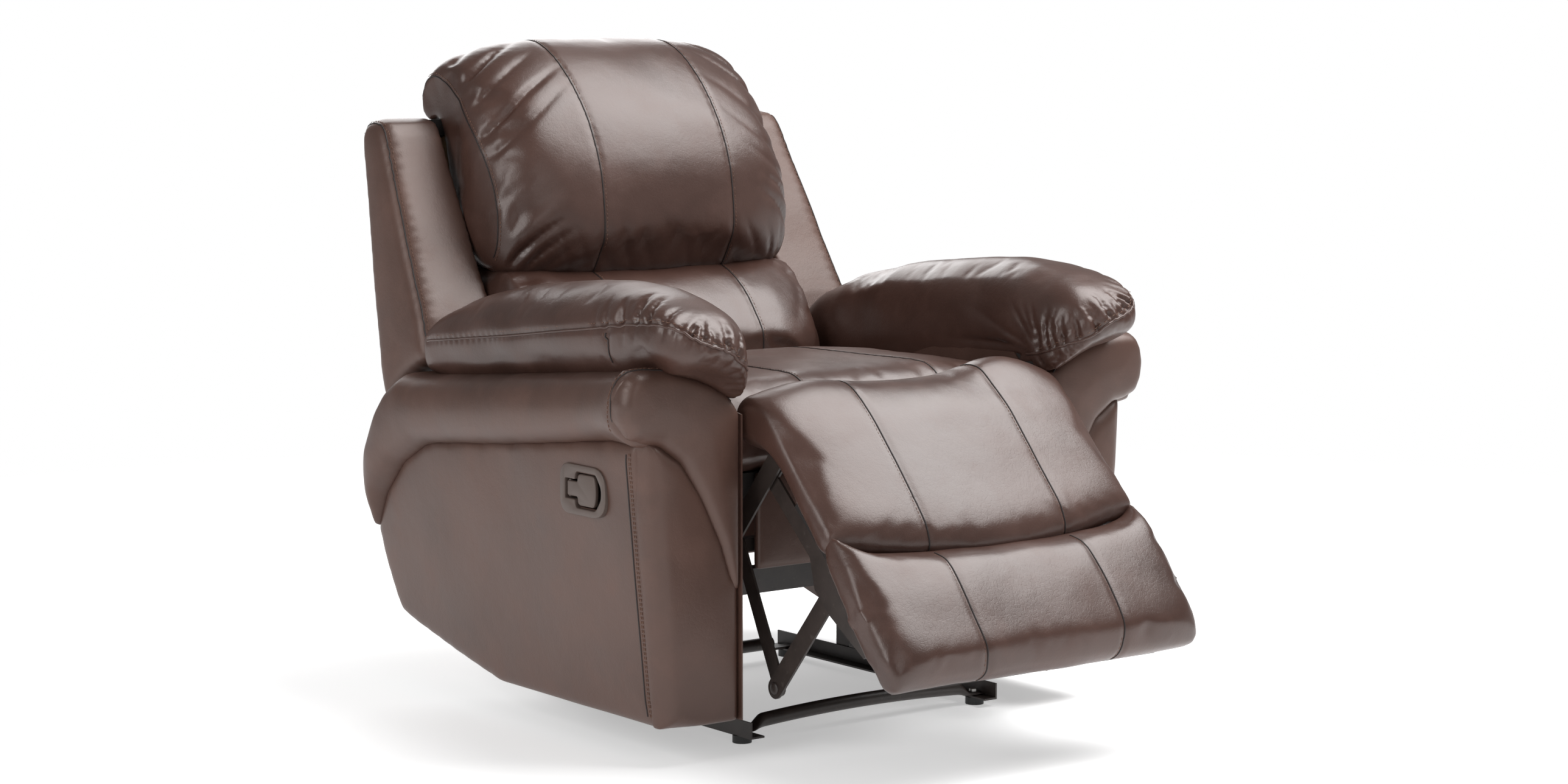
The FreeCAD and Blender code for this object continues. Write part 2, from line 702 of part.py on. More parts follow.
def on_head(share, n):
    """(Y, Z) of a point n in front of the back's rear face, at a share of the head cushion's rise."""
    return on_back(HEAD_FOOT + share * (BACK_TOP - HEAD_FOOT), n)


def head_cushion():
    points = [
        (640, 690),
        (on_head(0.185, 245.5), on_head(0.4145, 256.6)),
        (on_head(0.646, 258.5), on_head(0.8845, 236.1)),
        (on_head(1.1425, 193.4), on_head(1.3395, 131.8)),
        (on_head(1.372, 62.8), on_head(1.212, 12.0)),
        on_back(BACK_TOP + 5, 0),
        on_back(BACK_TOP + 5, PAD_BACK),
        (819, 691),
    ]
    return side_shape(points, -CUSHION_HALF, CUSHION_HALF)


def lumbar_cushion():
    points = [
        (512, 491),
        ((526, 545), (560, 597)),
        ((596, 638), (640, 664)),
        (664, 687),
        (817, 687),
        on_back(154.0, PAD_BACK),
    ]
    return side_shape(points, -CUSHION_HALF, CUSHION_HALF)


def back_bracket():
    """Steel bracket from the back pivot to an upright, with its pivot pin."""
    inner = UPRIGHT_OUTER
    knee = on_back(150.0, 26)
    tip = on_back(240.0, 26)
    root = rod_x(BACK_PIVOT, 20, inner, inner + LINK_THICK)
    arm = strap(BACK_PIVOT, knee, 13, inner, inner + LINK_THICK)
    leg = strap(knee, tip, 13, inner, inner + LINK_THICK)
    pin = rod_x(BACK_PIVOT, PIN_RADIUS, PLATE_PLANE - 4, inner)
    return root.fuse([arm, leg, pin]).removeSplitter()


UPRIGHT_INNER = UPRIGHT_OUTER - UPRIGHT_WIDTH
upright = back_bar(90, BACK_TOP - BAR, FRAME_BACK, FRAME_FACE, UPRIGHT_INNER, UPRIGHT_OUTER)
nodes["back_upright_left"] = upright
nodes["back_upright_right"] = mirrored(upright)
nodes["back_top_rail"] = back_bar(
    BACK_TOP - BAR, BACK_TOP, FRAME_BACK, FRAME_FACE, -WING_INNER, WING_INNER
)
nodes["back_middle_rail"] = back_bar(330, 330 + BAR, FRAME_BACK, FRAME_FACE, -UPRIGHT_INNER, UPRIGHT_INNER)
nodes["back_bottom_rail"] = back_bar(95, 95 + BAR, FRAME_BACK, FRAME_FACE, -UPRIGHT_INNER, UPRIGHT_INNER)
nodes["back_rear_panel"] = back_bar(-REAR_PANEL_DROP, BACK_TOP, 0, REAR_PANEL, -SEAT_HALF, SEAT_HALF)
nodes["back_springs"] = back_springs()
wing_shape = wing()
nodes["wing_left"] = wing_shape
nodes["wing_right"] = mirrored(wing_shape)
nodes["head_cushion"] = head_cushion()
nodes["lumbar_cushion"] = lumbar_cushion()
bracket = back_bracket()
nodes["back_bracket_left"] = bracket
nodes["back_bracket_right"] = mirrored(bracket)


# ---- footrest -----------------------------------------------------------------------------------
def hanger_arm():
    """Bent steel arm from the knee pivot to the foot board, with its two pins."""
    x0 = HANGER_PLANE
    x1 = HANGER_PLANE + LINK_THICK
    top = -PAD_HALF_THICK - CALF_BOARD
    points = [
        on_calf(18, 0),
        on_calf(18, top),
        on_calf(CALF_END - 6, top),
        on_foot(12, FOOT_THICK + FOOT_BOARD),
        on_foot(110, FOOT_THICK + FOOT_BOARD),
        on_foot(110, FOOT_THICK + FOOT_BOARD + 22),
        on_calf(CALF_END + 12, -98),
        on_calf(CALF_END - 38, -98),
        on_calf(150, -72),
        on_calf(-12, -72),
        on_calf(-18, -60),
        on_calf(-18, 0),
    ]
    arm = side_shape(points, x0, x1).fuse(rod_x(KNEE_PIVOT, 18, x0, x1)).removeSplitter()
    knee_pin = rod_x(KNEE_PIVOT, PIN_RADIUS, x1, PLATE_OUTER + 3)
    foot_pin = rod_x(FOOT_PIVOT, SMALL_PIN_RADIUS, LIFT_PLANE - 1.5, x0)
    return arm.fuse([knee_pin, foot_pin]).removeSplitter()


def calf_slab(s0, s1, n0, n1, half):
    points = [on_calf(s0, n0), on_calf(s1, n0), on_calf(s1, n1), on_calf(s0, n1)]
    return side_shape(points, -half, half)


def foot_slab(s0, s1, d0, d1, half):
    points = [on_foot(s0, d0), on_foot(s1, d0), on_foot(s1, d1), on_foot(s0, d1)]
    return side_shape(points, -half, half)


nodes["calf_cushion"] = calf_slab(CALF_START, CALF_END, -PAD_HALF_THICK, PAD_HALF_THICK, CUSHION_HALF)
nodes["calf_board"] = calf_slab(
    CALF_START + 13, CALF_END - 8, -PAD_HALF_THICK - CALF_BOARD, -PAD_HALF_THICK, BOARD_HALF
)
nodes["foot_cushion"] = foot_slab(0, FOOT_LENGTH, 0, FOOT_THICK, CUSHION_HALF)
nodes["foot_board"] = foot_slab(6, FOOT_LENGTH - 8, FOOT_THICK, FOOT_THICK + FOOT_BOARD, BOARD_HALF)
hanger = hanger_arm()
nodes["hanger_arm_left"] = hanger
nodes["hanger_arm_right"] = mirrored(hanger)


# ---- drive --------------------------------------------------------------------------------------
def drive_link():
    """Link from the torque tube to the elbow, with the crank pin and the elbow pin."""
    x0 = DRIVE_PLANE
    x1 = DRIVE_PLANE + LINK_THICK
    link = strap(CRANK_PIVOT, ELBOW, 13, x0, x1)
    crank_pin = rod_x(CRANK_PIVOT, PIN_RADIUS, x1, PLATE_OUTER + 3)
    collar = rod_x(ELBOW, 9, x1, LIFT_PLANE - 0.3)
    elbow_pin = rod_x(ELBOW, SMALL_PIN_RADIUS, x1, LIFT_PLANE + LINK_THICK + 1.5)
    return link.fuse([crank_pin, collar, elbow_pin]).removeSplitter()


def lift_link():
    """Wide link from the elbow to the foot pivot."""
    x0 = LIFT_PLANE
    x1 = LIFT_PLANE + LINK_THICK
    link = strap(ELBOW, FOOT_PIVOT, 16, x0, x1)
    for pivot in (ELBOW, FOOT_PIVOT):
        link = link.cut(rod_x(pivot, SMALL_PIN_RADIUS + PIN_CLEARANCE, x0, x1))
    return link


def torque_tube():
    y, z = CRANK_PIVOT
    side = TUBE_SIDE / 2
    bore = side - TUBE_WALL
    outer = block(-DRIVE_PLANE, DRIVE_PLANE, y - side, y + side, z - side, z + side)
    return outer.cut(block(-DRIVE_PLANE, DRIVE_PLANE, y - bore, y + bore, z - bore, z + bore))


nodes["torque_tube"] = torque_tube()
link = drive_link()
nodes["drive_link_left"] = link
nodes["drive_link_right"] = mirrored(link)
link = lift_link()
nodes["lift_link_left"] = link
nodes["lift_link_right"] = mirrored(link)


# ---- export -------------------------------------------------------------------------------------
def export(pieces):
    """Moves every piece so that the origin is the middle of the footprint, and writes it."""
    front = min(shape.BoundBox.YMin for shape in pieces.values())
    rear = max(shape.BoundBox.YMax for shape in pieces.values())
    shift = V(0, -(front + rear) / 2, 0)
    os.makedirs("parts", exist_ok=True)
    for name, shape in pieces.items():
        moved = shape.copy()
        moved.translate(shift)
        moved.exportStep("parts/" + name + ".step")
    print("nodes", len(pieces), "shift in Y", round(shift.y, 4))


export(nodes)
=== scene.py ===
import json
import math

import bpy
from mathutils import Matrix, Vector, noise
from mathutils.kdtree import KDTree


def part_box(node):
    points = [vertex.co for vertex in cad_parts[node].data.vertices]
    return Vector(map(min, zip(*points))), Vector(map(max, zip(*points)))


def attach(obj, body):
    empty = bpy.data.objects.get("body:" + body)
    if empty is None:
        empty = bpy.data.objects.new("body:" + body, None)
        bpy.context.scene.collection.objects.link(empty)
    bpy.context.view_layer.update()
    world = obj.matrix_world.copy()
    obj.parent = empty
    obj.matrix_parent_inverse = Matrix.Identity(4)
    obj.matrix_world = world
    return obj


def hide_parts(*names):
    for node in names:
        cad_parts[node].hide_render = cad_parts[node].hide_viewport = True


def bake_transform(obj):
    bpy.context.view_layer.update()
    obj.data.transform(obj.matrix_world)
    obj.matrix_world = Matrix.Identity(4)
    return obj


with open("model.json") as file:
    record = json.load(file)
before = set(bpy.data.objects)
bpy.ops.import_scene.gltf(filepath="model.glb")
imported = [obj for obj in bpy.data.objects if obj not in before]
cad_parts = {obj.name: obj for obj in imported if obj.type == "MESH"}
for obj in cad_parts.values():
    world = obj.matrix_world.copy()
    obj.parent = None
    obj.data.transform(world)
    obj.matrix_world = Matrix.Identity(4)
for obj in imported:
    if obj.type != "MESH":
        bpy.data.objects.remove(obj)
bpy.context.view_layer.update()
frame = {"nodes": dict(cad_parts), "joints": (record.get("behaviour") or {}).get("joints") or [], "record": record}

bl_info = {
    "name": "Recliner armchair",
    "version": (1, 0, 0),
    "blender": (4, 5, 0),
    "location": "View3D > Sidebar > Chair",
    "description": "Leather, stitching, steel finish and stage of a recliner armchair",
    "category": "Object",
}


# ---- places read from the frame --------------------------------------------
ARM_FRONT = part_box("arm_front_scroll_left")[0].y
ARM_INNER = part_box("arm_front_scroll_left")[0].x
PAD_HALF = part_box("head_cushion")[1].x


def joint_place(name):
    return next(Vector(j["pos_m"]) for j in frame["joints"] if j["name"] == name)


KNEE = joint_place("footrest_swing")
RECLINE = joint_place("back_recline")


def at(y, z):
    """A side-view point: y behind the fronts of the arms, z above the floor."""
    return Vector((y + ARM_FRONT, z))


def side_line(*points):
    """A side-view line through (y, z) points in millimetres."""
    return [at(y / 1000, z / 1000) for y, z in points]


def front_line(*points):
    """A front-view line through (x, z) points in millimetres."""
    return [Vector((x / 1000, z / 1000)) for x, z in points]


# ---- mesh helpers ----------------------------------------------------------
def deselect():
    bpy.ops.object.select_all(action="DESELECT")


def pick(piece):
    """Selects one piece alone and makes it active."""
    deselect()
    piece.select_set(True)
    bpy.context.view_layer.objects.active = piece


def name_new(name):
    piece = bpy.context.object
    piece.name = name
    piece.data.name = name
    return piece


def edit(piece):
    pick(piece)
    bpy.ops.object.mode_set(mode="EDIT")
    bpy.ops.mesh.select_all(action="SELECT")


def leave_edit():
    bpy.ops.object.mode_set(mode="OBJECT")


def finish_with(piece, kind, **settings):
    """Adds one modifier and applies it."""
    pick(piece)
    modifier = piece.modifiers.new(kind.title(), kind)
    for key, value in settings.items():
        setattr(modifier, key, value)
    bpy.ops.object.modifier_apply(modifier=modifier.name)


def shade(piece, degrees=60):
    pick(piece)
    bpy.ops.object.shade_smooth_by_angle(angle=math.radians(degrees))


def round_off(piece):
    """Subdivides a soft form once and shades it smooth all over."""
    finish_with(piece, "SUBSURF", levels=1, render_levels=1)
    shade(piece, 180)


def cut_out(piece, cutter):
    """Cuts one piece out of another and removes it."""
    finish_with(piece, "BOOLEAN", object=cutter, operation="DIFFERENCE")
    bpy.data.objects.remove(cutter)


def soften_edges(piece, width):
    """Rounds the sharp edges of a moulding."""
    sharp = math.radians(50)
    finish_with(piece, "BEVEL", width=width, segments=3, limit_method="ANGLE", angle_limit=sharp)


def settle(piece):
    """Puts a piece's place into its mesh."""
    pick(piece)
    bpy.ops.object.transform_apply(location=True, rotation=True, scale=True)


def mirror_copy(piece, name):
    """The same piece on the other side of the chair, with its own mesh, facing outwards."""
    twin = piece.copy()
    twin.data = piece.data.copy()
    twin.name = name
    twin.data.name = name
    bpy.context.scene.collection.objects.link(twin)
    twin.data.transform(Matrix.Scale(-1, 4, Vector((1, 0, 0))))
    twin.data.flip_normals()
    return twin


def join(pieces, name):
    deselect()
    for piece in pieces:
        piece.select_set(True)
    bpy.context.view_layer.objects.active = pieces[0]
    bpy.ops.object.join()
    return name_new(name)


# ---- outlines --------------------------------------------------------------
def spline(points, share, closed=True):
    """A point on the smooth line through points, at a share of its way round."""
    count = len(points)
    last = count if closed else count - 1
    reach = min(max(share, 0.0), 1.0) * last
    i = min(int(reach), last - 1)
    t = reach - i

    def pt(k):
        return points[k % count] if closed else points[min(max(k, 0), count - 1)]

    a, b, c, d = pt(i - 1), pt(i), pt(i + 1), pt(i + 2)
    return 0.5 * (
        2 * b + (c - a) * t + (2 * a - 5 * b + 4 * c - d) * t * t
        + (3 * b - a - 3 * c + d) * t * t * t
    )


def smooth(points, count):
    """A list of points along the open smooth line through a few."""
    return [spline(points, i / (count - 1), False) for i in range(count)]


def clamp(value, low=0.0, high=1.0):
    return min(max(value, low), high)


def ease(value):
    t = clamp(value)
    return t * t * (3 - 2 * t)


def read_off(curve, at_x):
    """The height of a line of (x, height) points at one x; the points rise in x."""
    if at_x <= curve[0][0]:
        return curve[0][1]
    for (x0, h0), (x1, h1) in zip(curve, curve[1:]):
        if at_x <= x1:
            return h0 + (h1 - h0) * (at_x - x0) / (x1 - x0)
    return curve[-1][1]


def round_corners(points, radii, steps=7):
    """An outline whose corners are replaced by curves."""
    count = len(points)
    loop = []
    for i, radius in enumerate(radii):
        here = points[i]
        back = (points[i - 1] - here).normalized() * radius
        ahead = (points[(i + 1) % count] - here).normalized() * radius
        for k in range(steps + 1):
            t = k / steps
            loop.append(here + back * (1 - t) ** 2 + ahead * t**2)
    return loop


def rectangle(x0, x1, z0, z1):
    return [Vector((x0, z0)), Vector((x1, z0)), Vector((x1, z1)), Vector((x0, z1))]


def edge_distance(point, loop):
    """How far a flat point is from a closed outline."""
    best = 9.0
    count = len(loop)
    for i in range(count):
        a = loop[i]
        b = loop[(i + 1) % count]
        along = b - a
        t = clamp((point - a).dot(along) / max(along.length_squared, 1e-12))
        best = min(best, (a + along * t - point).length)
    return best


# ---- soft forms ------------------------------------------------------------
def rolled(name, around, along, place):
    """A grid rolled into a closed form. place(u, v) gives its points: u round, v end to end."""
    deselect()
    bpy.ops.mesh.primitive_grid_add(x_subdivisions=around, y_subdivisions=along, size=1)
    piece = name_new(name)
    for vertex in piece.data.vertices:
        vertex.co = place(vertex.co.x + 0.5, vertex.co.y + 0.5)
    edit(piece)
    bpy.ops.mesh.remove_doubles(threshold=1e-5)
    bpy.ops.mesh.fill_holes(sides=0)
    bpy.ops.mesh.normals_make_consistent(inside=False)
    leave_edit()
    return piece


def slab(name, loop, low, high, axis=0):
    """A flat outline given thickness: (Y, Z) pulled along X, or (X, Z) along Y for axis 1."""
    deselect()
    bpy.ops.mesh.primitive_circle_add(vertices=len(loop), radius=1, fill_type="NGON")
    piece = name_new(name)
    for vertex, point in zip(piece.data.vertices, loop):
        vertex.co = (low, point.x, point.y) if axis == 0 else (point.x, low, point.y)
    edit(piece)
    push = (high - low, 0, 0) if axis == 0 else (0, high - low, 0)
    bpy.ops.mesh.extrude_region_move(TRANSFORM_OT_translate={"value": push})
    bpy.ops.mesh.select_all(action="SELECT")
    bpy.ops.mesh.normals_make_consistent(inside=False)
    leave_edit()
    return piece


def even_out(piece, size):
    """Remeshes a form into even small faces, as a soft form needs."""
    finish_with(piece, "REMESH", mode="VOXEL", voxel_size=size, use_smooth_shade=True)


def relax(piece, times, factor=0.5):
    finish_with(piece, "SMOOTH", iterations=times, factor=factor)


def swell(piece, pressure, cap, frames=20):
    """Blows a closed form up a little as cloth, and caps how far any point goes."""
    before = [vertex.co.copy() for vertex in piece.data.vertices]
    scene = bpy.context.scene
    scene.frame_start = 1
    scene.frame_end = frames
    scene.frame_set(1)
    pick(piece)
    modifier = piece.modifiers.new("Cloth", "CLOTH")
    settings = modifier.settings
    settings.quality = 4
    settings.mass = 0.3
    settings.tension_stiffness = 12
    settings.compression_stiffness = 12
    settings.shear_stiffness = 6
    settings.bending_stiffness = 0.6
    settings.use_pressure = True
    settings.uniform_pressure_force = pressure
    settings.effector_weights.gravity = 0
    modifier.point_cache.frame_start = 1
    modifier.point_cache.frame_end = frames
    for number in range(1, frames + 1):
        scene.frame_set(number)
    bpy.ops.object.modifier_apply(modifier=modifier.name)
    scene.frame_set(1)
    for vertex, old in zip(piece.data.vertices, before):
        move = vertex.co - old
        if move.length > cap:
            vertex.co = old + move * (cap / move.length)
    relax(piece, 4)


def push_out(piece, amount):
    """Moves every point along its normal by amount(point, normal)."""
    mesh = piece.data
    moved = []
    for vertex in mesh.vertices:
        moved.append(vertex.co + vertex.normal * amount(vertex.co, vertex.normal))
    for vertex, place in zip(mesh.vertices, moved):
        vertex.co = place
    mesh.update()


def fold(t, spread, seed):
    """One row of gathers: 0 on the crests and 1 in the valleys, unevenly spaced."""
    wander = 0.55 * noise.noise(Vector((t * 9.0, spread * 3.0, seed)))
    wave = abs(math.sin(math.pi * (t * 24.0 + 2.6 * wander + spread * 4.0)))
    strength = 0.55 + 0.75 * noise.noise(Vector((t * 14.0, seed * 1.7, 3.1)))
    return (1 - wave) ** 2 * clamp(strength, 0.1, 1.0)


def dents(co, size, seed):
    """Slow uneven swells of a stuffed surface."""
    return noise.noise(Vector((co.x / size + seed, co.y / size, co.z / size)))


def finder(path):
    """A search tree for the nearest point of a path."""
    tree = KDTree(len(path))
    for i, (point, _) in enumerate(path):
        tree.insert(point, i)
    tree.balance()
    return tree


def press_along(piece, path, width, depth):
    """Sinks a seam into a soft form along a path of (point, normal)."""
    tree = finder(path)

    def sink(co, normal):
        _, _, gap = tree.find(co)
        return -depth * math.exp(-((gap / width) ** 2)) if gap < 3 * width else 0.0

    push_out(piece, sink)


def trace(piece, starts, ways):
    """Where rays from starts along ways meet a piece: a path of (point, normal)."""
    path = []
    for start, way in zip(starts, ways):
        hit, point, normal, _ = piece.ray_cast(start, way)
        if hit:
            path.append((point.copy(), normal.copy()))
    return path


def nearest(piece, points):
    """The path on a piece's surface that is nearest to points."""
    path = []
    for point in points:
        hit, place, normal, _ = piece.closest_point_on_mesh(point)
        if hit:
            path.append((place.copy(), normal.copy()))
    return path


def resettle(piece, path):
    """The same path, laid again on a surface that has changed."""
    return nearest(piece, [point for point, _ in path])


def even_steps(path, pitch):
    """The same path with a point every pitch."""
    steps = []
    spare = 0.0
    for (a, na), (b, nb) in zip(path, path[1:]):
        length = (b - a).length
        if length < 1e-7:
            continue
        here = spare
        while here < length:
            t = here / length
            steps.append((a.lerp(b, t), na.lerp(nb, t).normalized(), (b - a) / length))
            here += pitch
        spare = here - length
    return steps


THREAD = 0.0012         # thickness of the sewing thread
STITCH = 0.0068         # from one stitch to the next
STITCH_SHARE = 0.68     # how much of that is thread
SEAM_SHADOW_RADIUS = 0.0012      # radius of the painted seam shadow, a dark line laid along each seam


def sew(piece, name, paths, body, offsets=(0.0048,), twin=None, bend=None):
    """Lays a dark line of painted seam shadow and rows of stitches along paths on a finished piece."""
    laid = [resettle(piece, path) for path in paths]
    made = [
        # first part: painted seam shadow, a dark cord laid along the groove of the seam
        (welt(name + "_seam", laid, SEAM_SHADOW_RADIUS, 0.0001), "seam"),
        (stitch_rows(name + "_stitches", laid, offsets), "thread"),
    ]
    for part, material in made:
        other = mirror_copy(part, part.name.replace("left", "right")) if twin else None
        for one in filter(None, (part, other)):
            hand_over(one, body, material)
            if bend:
                bend(one)


def stitch_rows(name, paths, offsets=(0.0035, -0.0035), lift=0.0003):
    """Short sewn threads beside every path, as one piece."""
    deselect()
    bpy.ops.mesh.primitive_cylinder_add(vertices=6, radius=THREAD / 2, depth=STITCH * STITCH_SHARE)
    pattern = bpy.context.object
    edit(pattern)
    bpy.ops.mesh.bevel(offset=THREAD * 0.3, segments=1)
    leave_edit()
    shape = [vertex.co.copy() for vertex in pattern.data.vertices]
    faces = [list(face.vertices) for face in pattern.data.polygons]
    bpy.data.objects.remove(pattern)
    points, polygons = [], []
    for path in paths:
        for place, normal, along in even_steps(path, STITCH):
            across = along.cross(normal).normalized()
            for offset in offsets:
                base = len(points)
                middle = place + across * offset + normal * lift
                for co in shape:
                    points.append(middle + across * co.x + normal * co.y + along * co.z)
                polygons += [[base + k for k in face] for face in faces]
    mesh = bpy.data.meshes.new(name)
    mesh.from_pydata(points, [], polygons)
    piece = bpy.data.objects.new(name, mesh)
    bpy.context.scene.collection.objects.link(piece)
    shade(piece, 80)
    return piece


def welt(name, paths, radius=0.003, lift=0.001):
    """Round piping along paths on a surface. It also lays the dark line of painted seam shadow."""
    deselect()
    curve = bpy.data.curves.new(name, "CURVE")
    curve.dimensions = "3D"
    curve.bevel_depth = radius
    curve.bevel_resolution = 2
    for path in paths:
        line = curve.splines.new("POLY")
        line.points.add(len(path) - 1)
        for point, (place, normal) in zip(line.points, path):
            point.co = (*(place + normal * lift), 1)
    piece = bpy.data.objects.new(name, curve)
    bpy.context.scene.collection.objects.link(piece)
    pick(piece)
    bpy.ops.object.convert(target="MESH")
    piece = name_new(name)
    edit(piece)
    bpy.ops.mesh.fill_holes(sides=0)
    leave_edit()
    shade(piece, 80)
    return piece


def cushion_place(centre, edge, half, power=2.6, root=0.55):
    """Place rule of a cushion lofted across X, from the edge outline to the centre one."""

    def place(u, v):
        x = (2 * v - 1) * half
        full = (1 - abs(x / half) ** power) ** root if abs(x) < half else 0.0
        flat = spline(edge, u).lerp(spline(centre, u), full)
        return Vector((x, flat.x, flat.y))

    return place


def across_seam(piece, place, v, first, last, count=90):
    """A seam round a lofted cushion at one share v of its width, from u first to u last."""
    beside, above = 0.002, 0.05
    starts, ways = [], []
    for i in range(count):
        u = first + (last - first) * i / (count - 1)
        here = place(u, v)
        ahead = place(u + beside, v) - place(u - beside, v)
        out = Vector((0, ahead.z, -ahead.y)).normalized()
        starts.append(here + out * above)
        ways.append(-out)
    return trace(piece, starts, ways)


def stuffed(name, place, grid, cap):
    """A lofted cushion with an even mesh, filled so that no point moves further than cap."""
    piece = rolled(name, *grid, place)
    even_out(piece, sizes().voxel)
    relax(piece, 3)
    swell(piece, sizes().pressure, cap)
    return piece


SEAMS_X = (-0.132, 0.132)
SEAM_WIDTH = 0.0042


def quilt(piece, place, half, first, last, count, seams_x=SEAMS_X):
    """Sinks the lengthwise seams of a cushion, each traced by count points. Gives their paths."""
    paths = [
        across_seam(piece, place, (x / half + 1) / 2, first, last, count) for x in seams_x
    ]
    for path in paths:
        press_along(piece, path, SEAM_WIDTH, sizes().seam)
    return paths


def plain_cushion(node, body, place, half, grid, cap, relief, run, seams_x=SEAMS_X):
    """A whole cushion: filled, pushed out by relief, quilted along run and sewn."""
    piece = stuffed(node + "_cover", place, grid, cap)
    push_out(piece, relief)
    seams = quilt(piece, place, half, *run, seams_x)
    round_off(piece)
    hand_over(piece, body, "seat_leather", node, fill=0.8)
    sew(piece, node, seams, body)


# ---- materials -------------------------------------------------------------
class Socket:
    """A node socket that maths can be written with."""

    def __init__(self, maker, link):
        self.maker = maker
        self.link = link

    def _math(self, operation, a, b):
        return self.maker.node("ShaderNodeMath", {"operation": operation}, {0: a, 1: b})

    def __add__(self, other):
        return self._math("ADD", self, other)

    def __radd__(self, other):
        return self._math("ADD", other, self)

    def __sub__(self, other):
        return self._math("SUBTRACT", self, other)

    def __mul__(self, other):
        return self._math("MULTIPLY", self, other)


class Finish:
    """One material: its shader, and a method that adds nodes."""

    def __init__(self, name):
        self.material = bpy.data.materials.new(name)
        self.material.use_nodes = True
        self.tree = self.material.node_tree
        self.shader = self.tree.nodes["Principled BSDF"]

    def node(self, kind, settings=None, values=None, out=0):
        made = self.tree.nodes.new(kind)
        for key, value in (settings or {}).items():
            setattr(made, key, value)
        for key, value in (values or {}).items():
            self.feed(made.inputs[key], value)
        return Socket(self, made.outputs[out])

    def feed(self, target, value):
        if isinstance(value, Socket):
            self.tree.links.new(value.link, target)
        else:
            target.default_value = value

    def set(self, **values):
        for key, value in values.items():
            self.feed(self.shader.inputs[key.replace("_", " ")], value)

    def place(self):
        return self.node("ShaderNodeTexCoord", out=3)

    def cloud(self, scale, detail=2.0, roughness=0.5, place=None):
        values = {"Vector": place or self.place(), "Scale": scale, "Detail": detail}
        values["Roughness"] = roughness
        return self.node("ShaderNodeTexNoise", {}, values)

    def cells(self, scale, feature="F1", place=None):
        values = {"Vector": place or self.place(), "Scale": scale}
        return self.node("ShaderNodeTexVoronoi", {"feature": feature}, values)

    def blend(self, mask, a, b):
        made = self.tree.nodes.new("ShaderNodeMix")
        made.data_type = "RGBA"
        self.feed(made.inputs[0], mask)
        self.feed(made.inputs[6], a)
        self.feed(made.inputs[7], b)
        return Socket(self, made.outputs[2])

    def ramp(self, value, low, high):
        values = {"Value": value, "From Min": low, "From Max": high}
        return self.node("ShaderNodeMapRange", {"clamp": True}, values)

    def bump(self, height, strength, distance, under=None):
        values = {"Height": height, "Strength": strength, "Distance": distance}
        if under is not None:
            values["Normal"] = under
        return self.node("ShaderNodeBump", {}, values)


def shaded(color, factor):
    return tuple(channel * factor for channel in color[:3]) + (1.0,)


def leather(name, color, gloss=0.36, grain=1.0, warmth=1.0):
    """Semi-gloss coated leather: fine pebbled grain, slow changes of tone and of gloss."""
    finish = Finish(name)
    place = finish.place()
    tone = finish.ramp(finish.cloud(5.0, 3.0, 0.6, place), 0.3, 0.7)
    rubbed = finish.ramp(finish.cloud(17.0, 4.0, 0.6, place), 0.52, 0.8)
    base = finish.blend(tone, shaded(color, 0.74), shaded(color, 1.18))
    base = finish.blend(rubbed * 0.45, base, shaded(color, 1.5))
    pebble = finish.cells(430.0, "SMOOTH_F1", place)
    wrinkle = finish.cells(150.0, "DISTANCE_TO_EDGE", place)
    creases = finish.ramp(wrinkle, 0.0, 0.09)
    height = pebble * 0.5 + creases * 0.5
    fine = finish.bump(height, 0.16 * grain, 0.0006)
    slow = finish.bump(finish.cloud(30.0, 3.0, 0.55, place), 0.14, 0.004, fine)
    finish.set(Base_Color=base, Normal=slow)
    finish.set(Roughness=gloss + (tone - 0.5) * 0.09 + rubbed * 0.06)
    finish.set(Specular_IOR_Level=0.56)
    finish.set(Specular_Tint=(1.0, 1 - 0.05 * warmth, 1 - 0.07 * warmth, 1.0))
    return finish.material


def painted_steel(name, color):
    """Dark stoved paint on pressed steel, worn a little."""
    finish = Finish(name)
    place = finish.place()
    tone = finish.ramp(finish.cloud(30.0, 4.0, 0.6, place), 0.35, 0.75)
    worn = finish.ramp(finish.cloud(90.0, 5.0, 0.65, place), 0.62, 0.74)
    base = finish.blend(tone, shaded(color, 0.8), shaded(color, 1.3))
    base = finish.blend(worn * 0.5, base, (0.16, 0.14, 0.125, 1))
    orange_peel = finish.cloud(420.0, 2.0, 0.5, place)
    finish.set(Base_Color=base, Roughness=0.42 + worn * 0.12)
    finish.set(Normal=finish.bump(orange_peel, 0.12, 0.0006))
    finish.set(Metallic=worn * 0.6)
    return finish.material


def bare_steel(name, color, roughness):
    """Drawn or zinc-plated steel."""
    finish = Finish(name)
    place = finish.place()
    tone = finish.cloud(60.0, 4.0, 0.6, place)
    base = finish.blend(tone, shaded(color, 0.75), shaded(color, 1.15))
    finish.set(Base_Color=base, Metallic=1.0, Roughness=roughness + (tone - 0.5) * 0.2)
    finish.set(Normal=finish.bump(finish.cloud(700.0, 2.0, 0.5, place), 0.06, 0.0004))
    return finish.material


def moulded_plastic(name, color, roughness=0.45):
    """Moulded plastic with a fine spark-eroded grain."""
    finish = Finish(name)
    place = finish.place()
    tone = finish.cloud(22.0, 3.0, 0.5, place)
    spark = finish.cloud(900.0, 2.0, 0.6, place)
    finish.set(Base_Color=finish.blend(tone, shaded(color, 0.9), shaded(color, 1.1)))
    finish.set(Roughness=roughness + (spark - 0.5) * 0.12)
    finish.set(Normal=finish.bump(spark, 0.18, 0.0004))
    return finish.material


def plywood(name, color):
    """Birch plywood and sawn bars, with the grain along Y."""
    finish = Finish(name)
    along_y = {"Vector": finish.place(), "Scale": (26, 2.4, 26)}
    place = finish.node("ShaderNodeMapping", {}, along_y)
    rings = finish.cloud(1.6, 5.0, 0.6, place)
    pores = finish.cloud(9.0, 3.0, 0.7, place)
    base = finish.blend(finish.ramp(rings, 0.3, 0.7), shaded(color, 0.7), shaded(color, 1.15))
    finish.set(Base_Color=base, Roughness=0.62 + pores * 0.15)
    finish.set(Normal=finish.bump(pores, 0.2, 0.0008))
    return finish.material


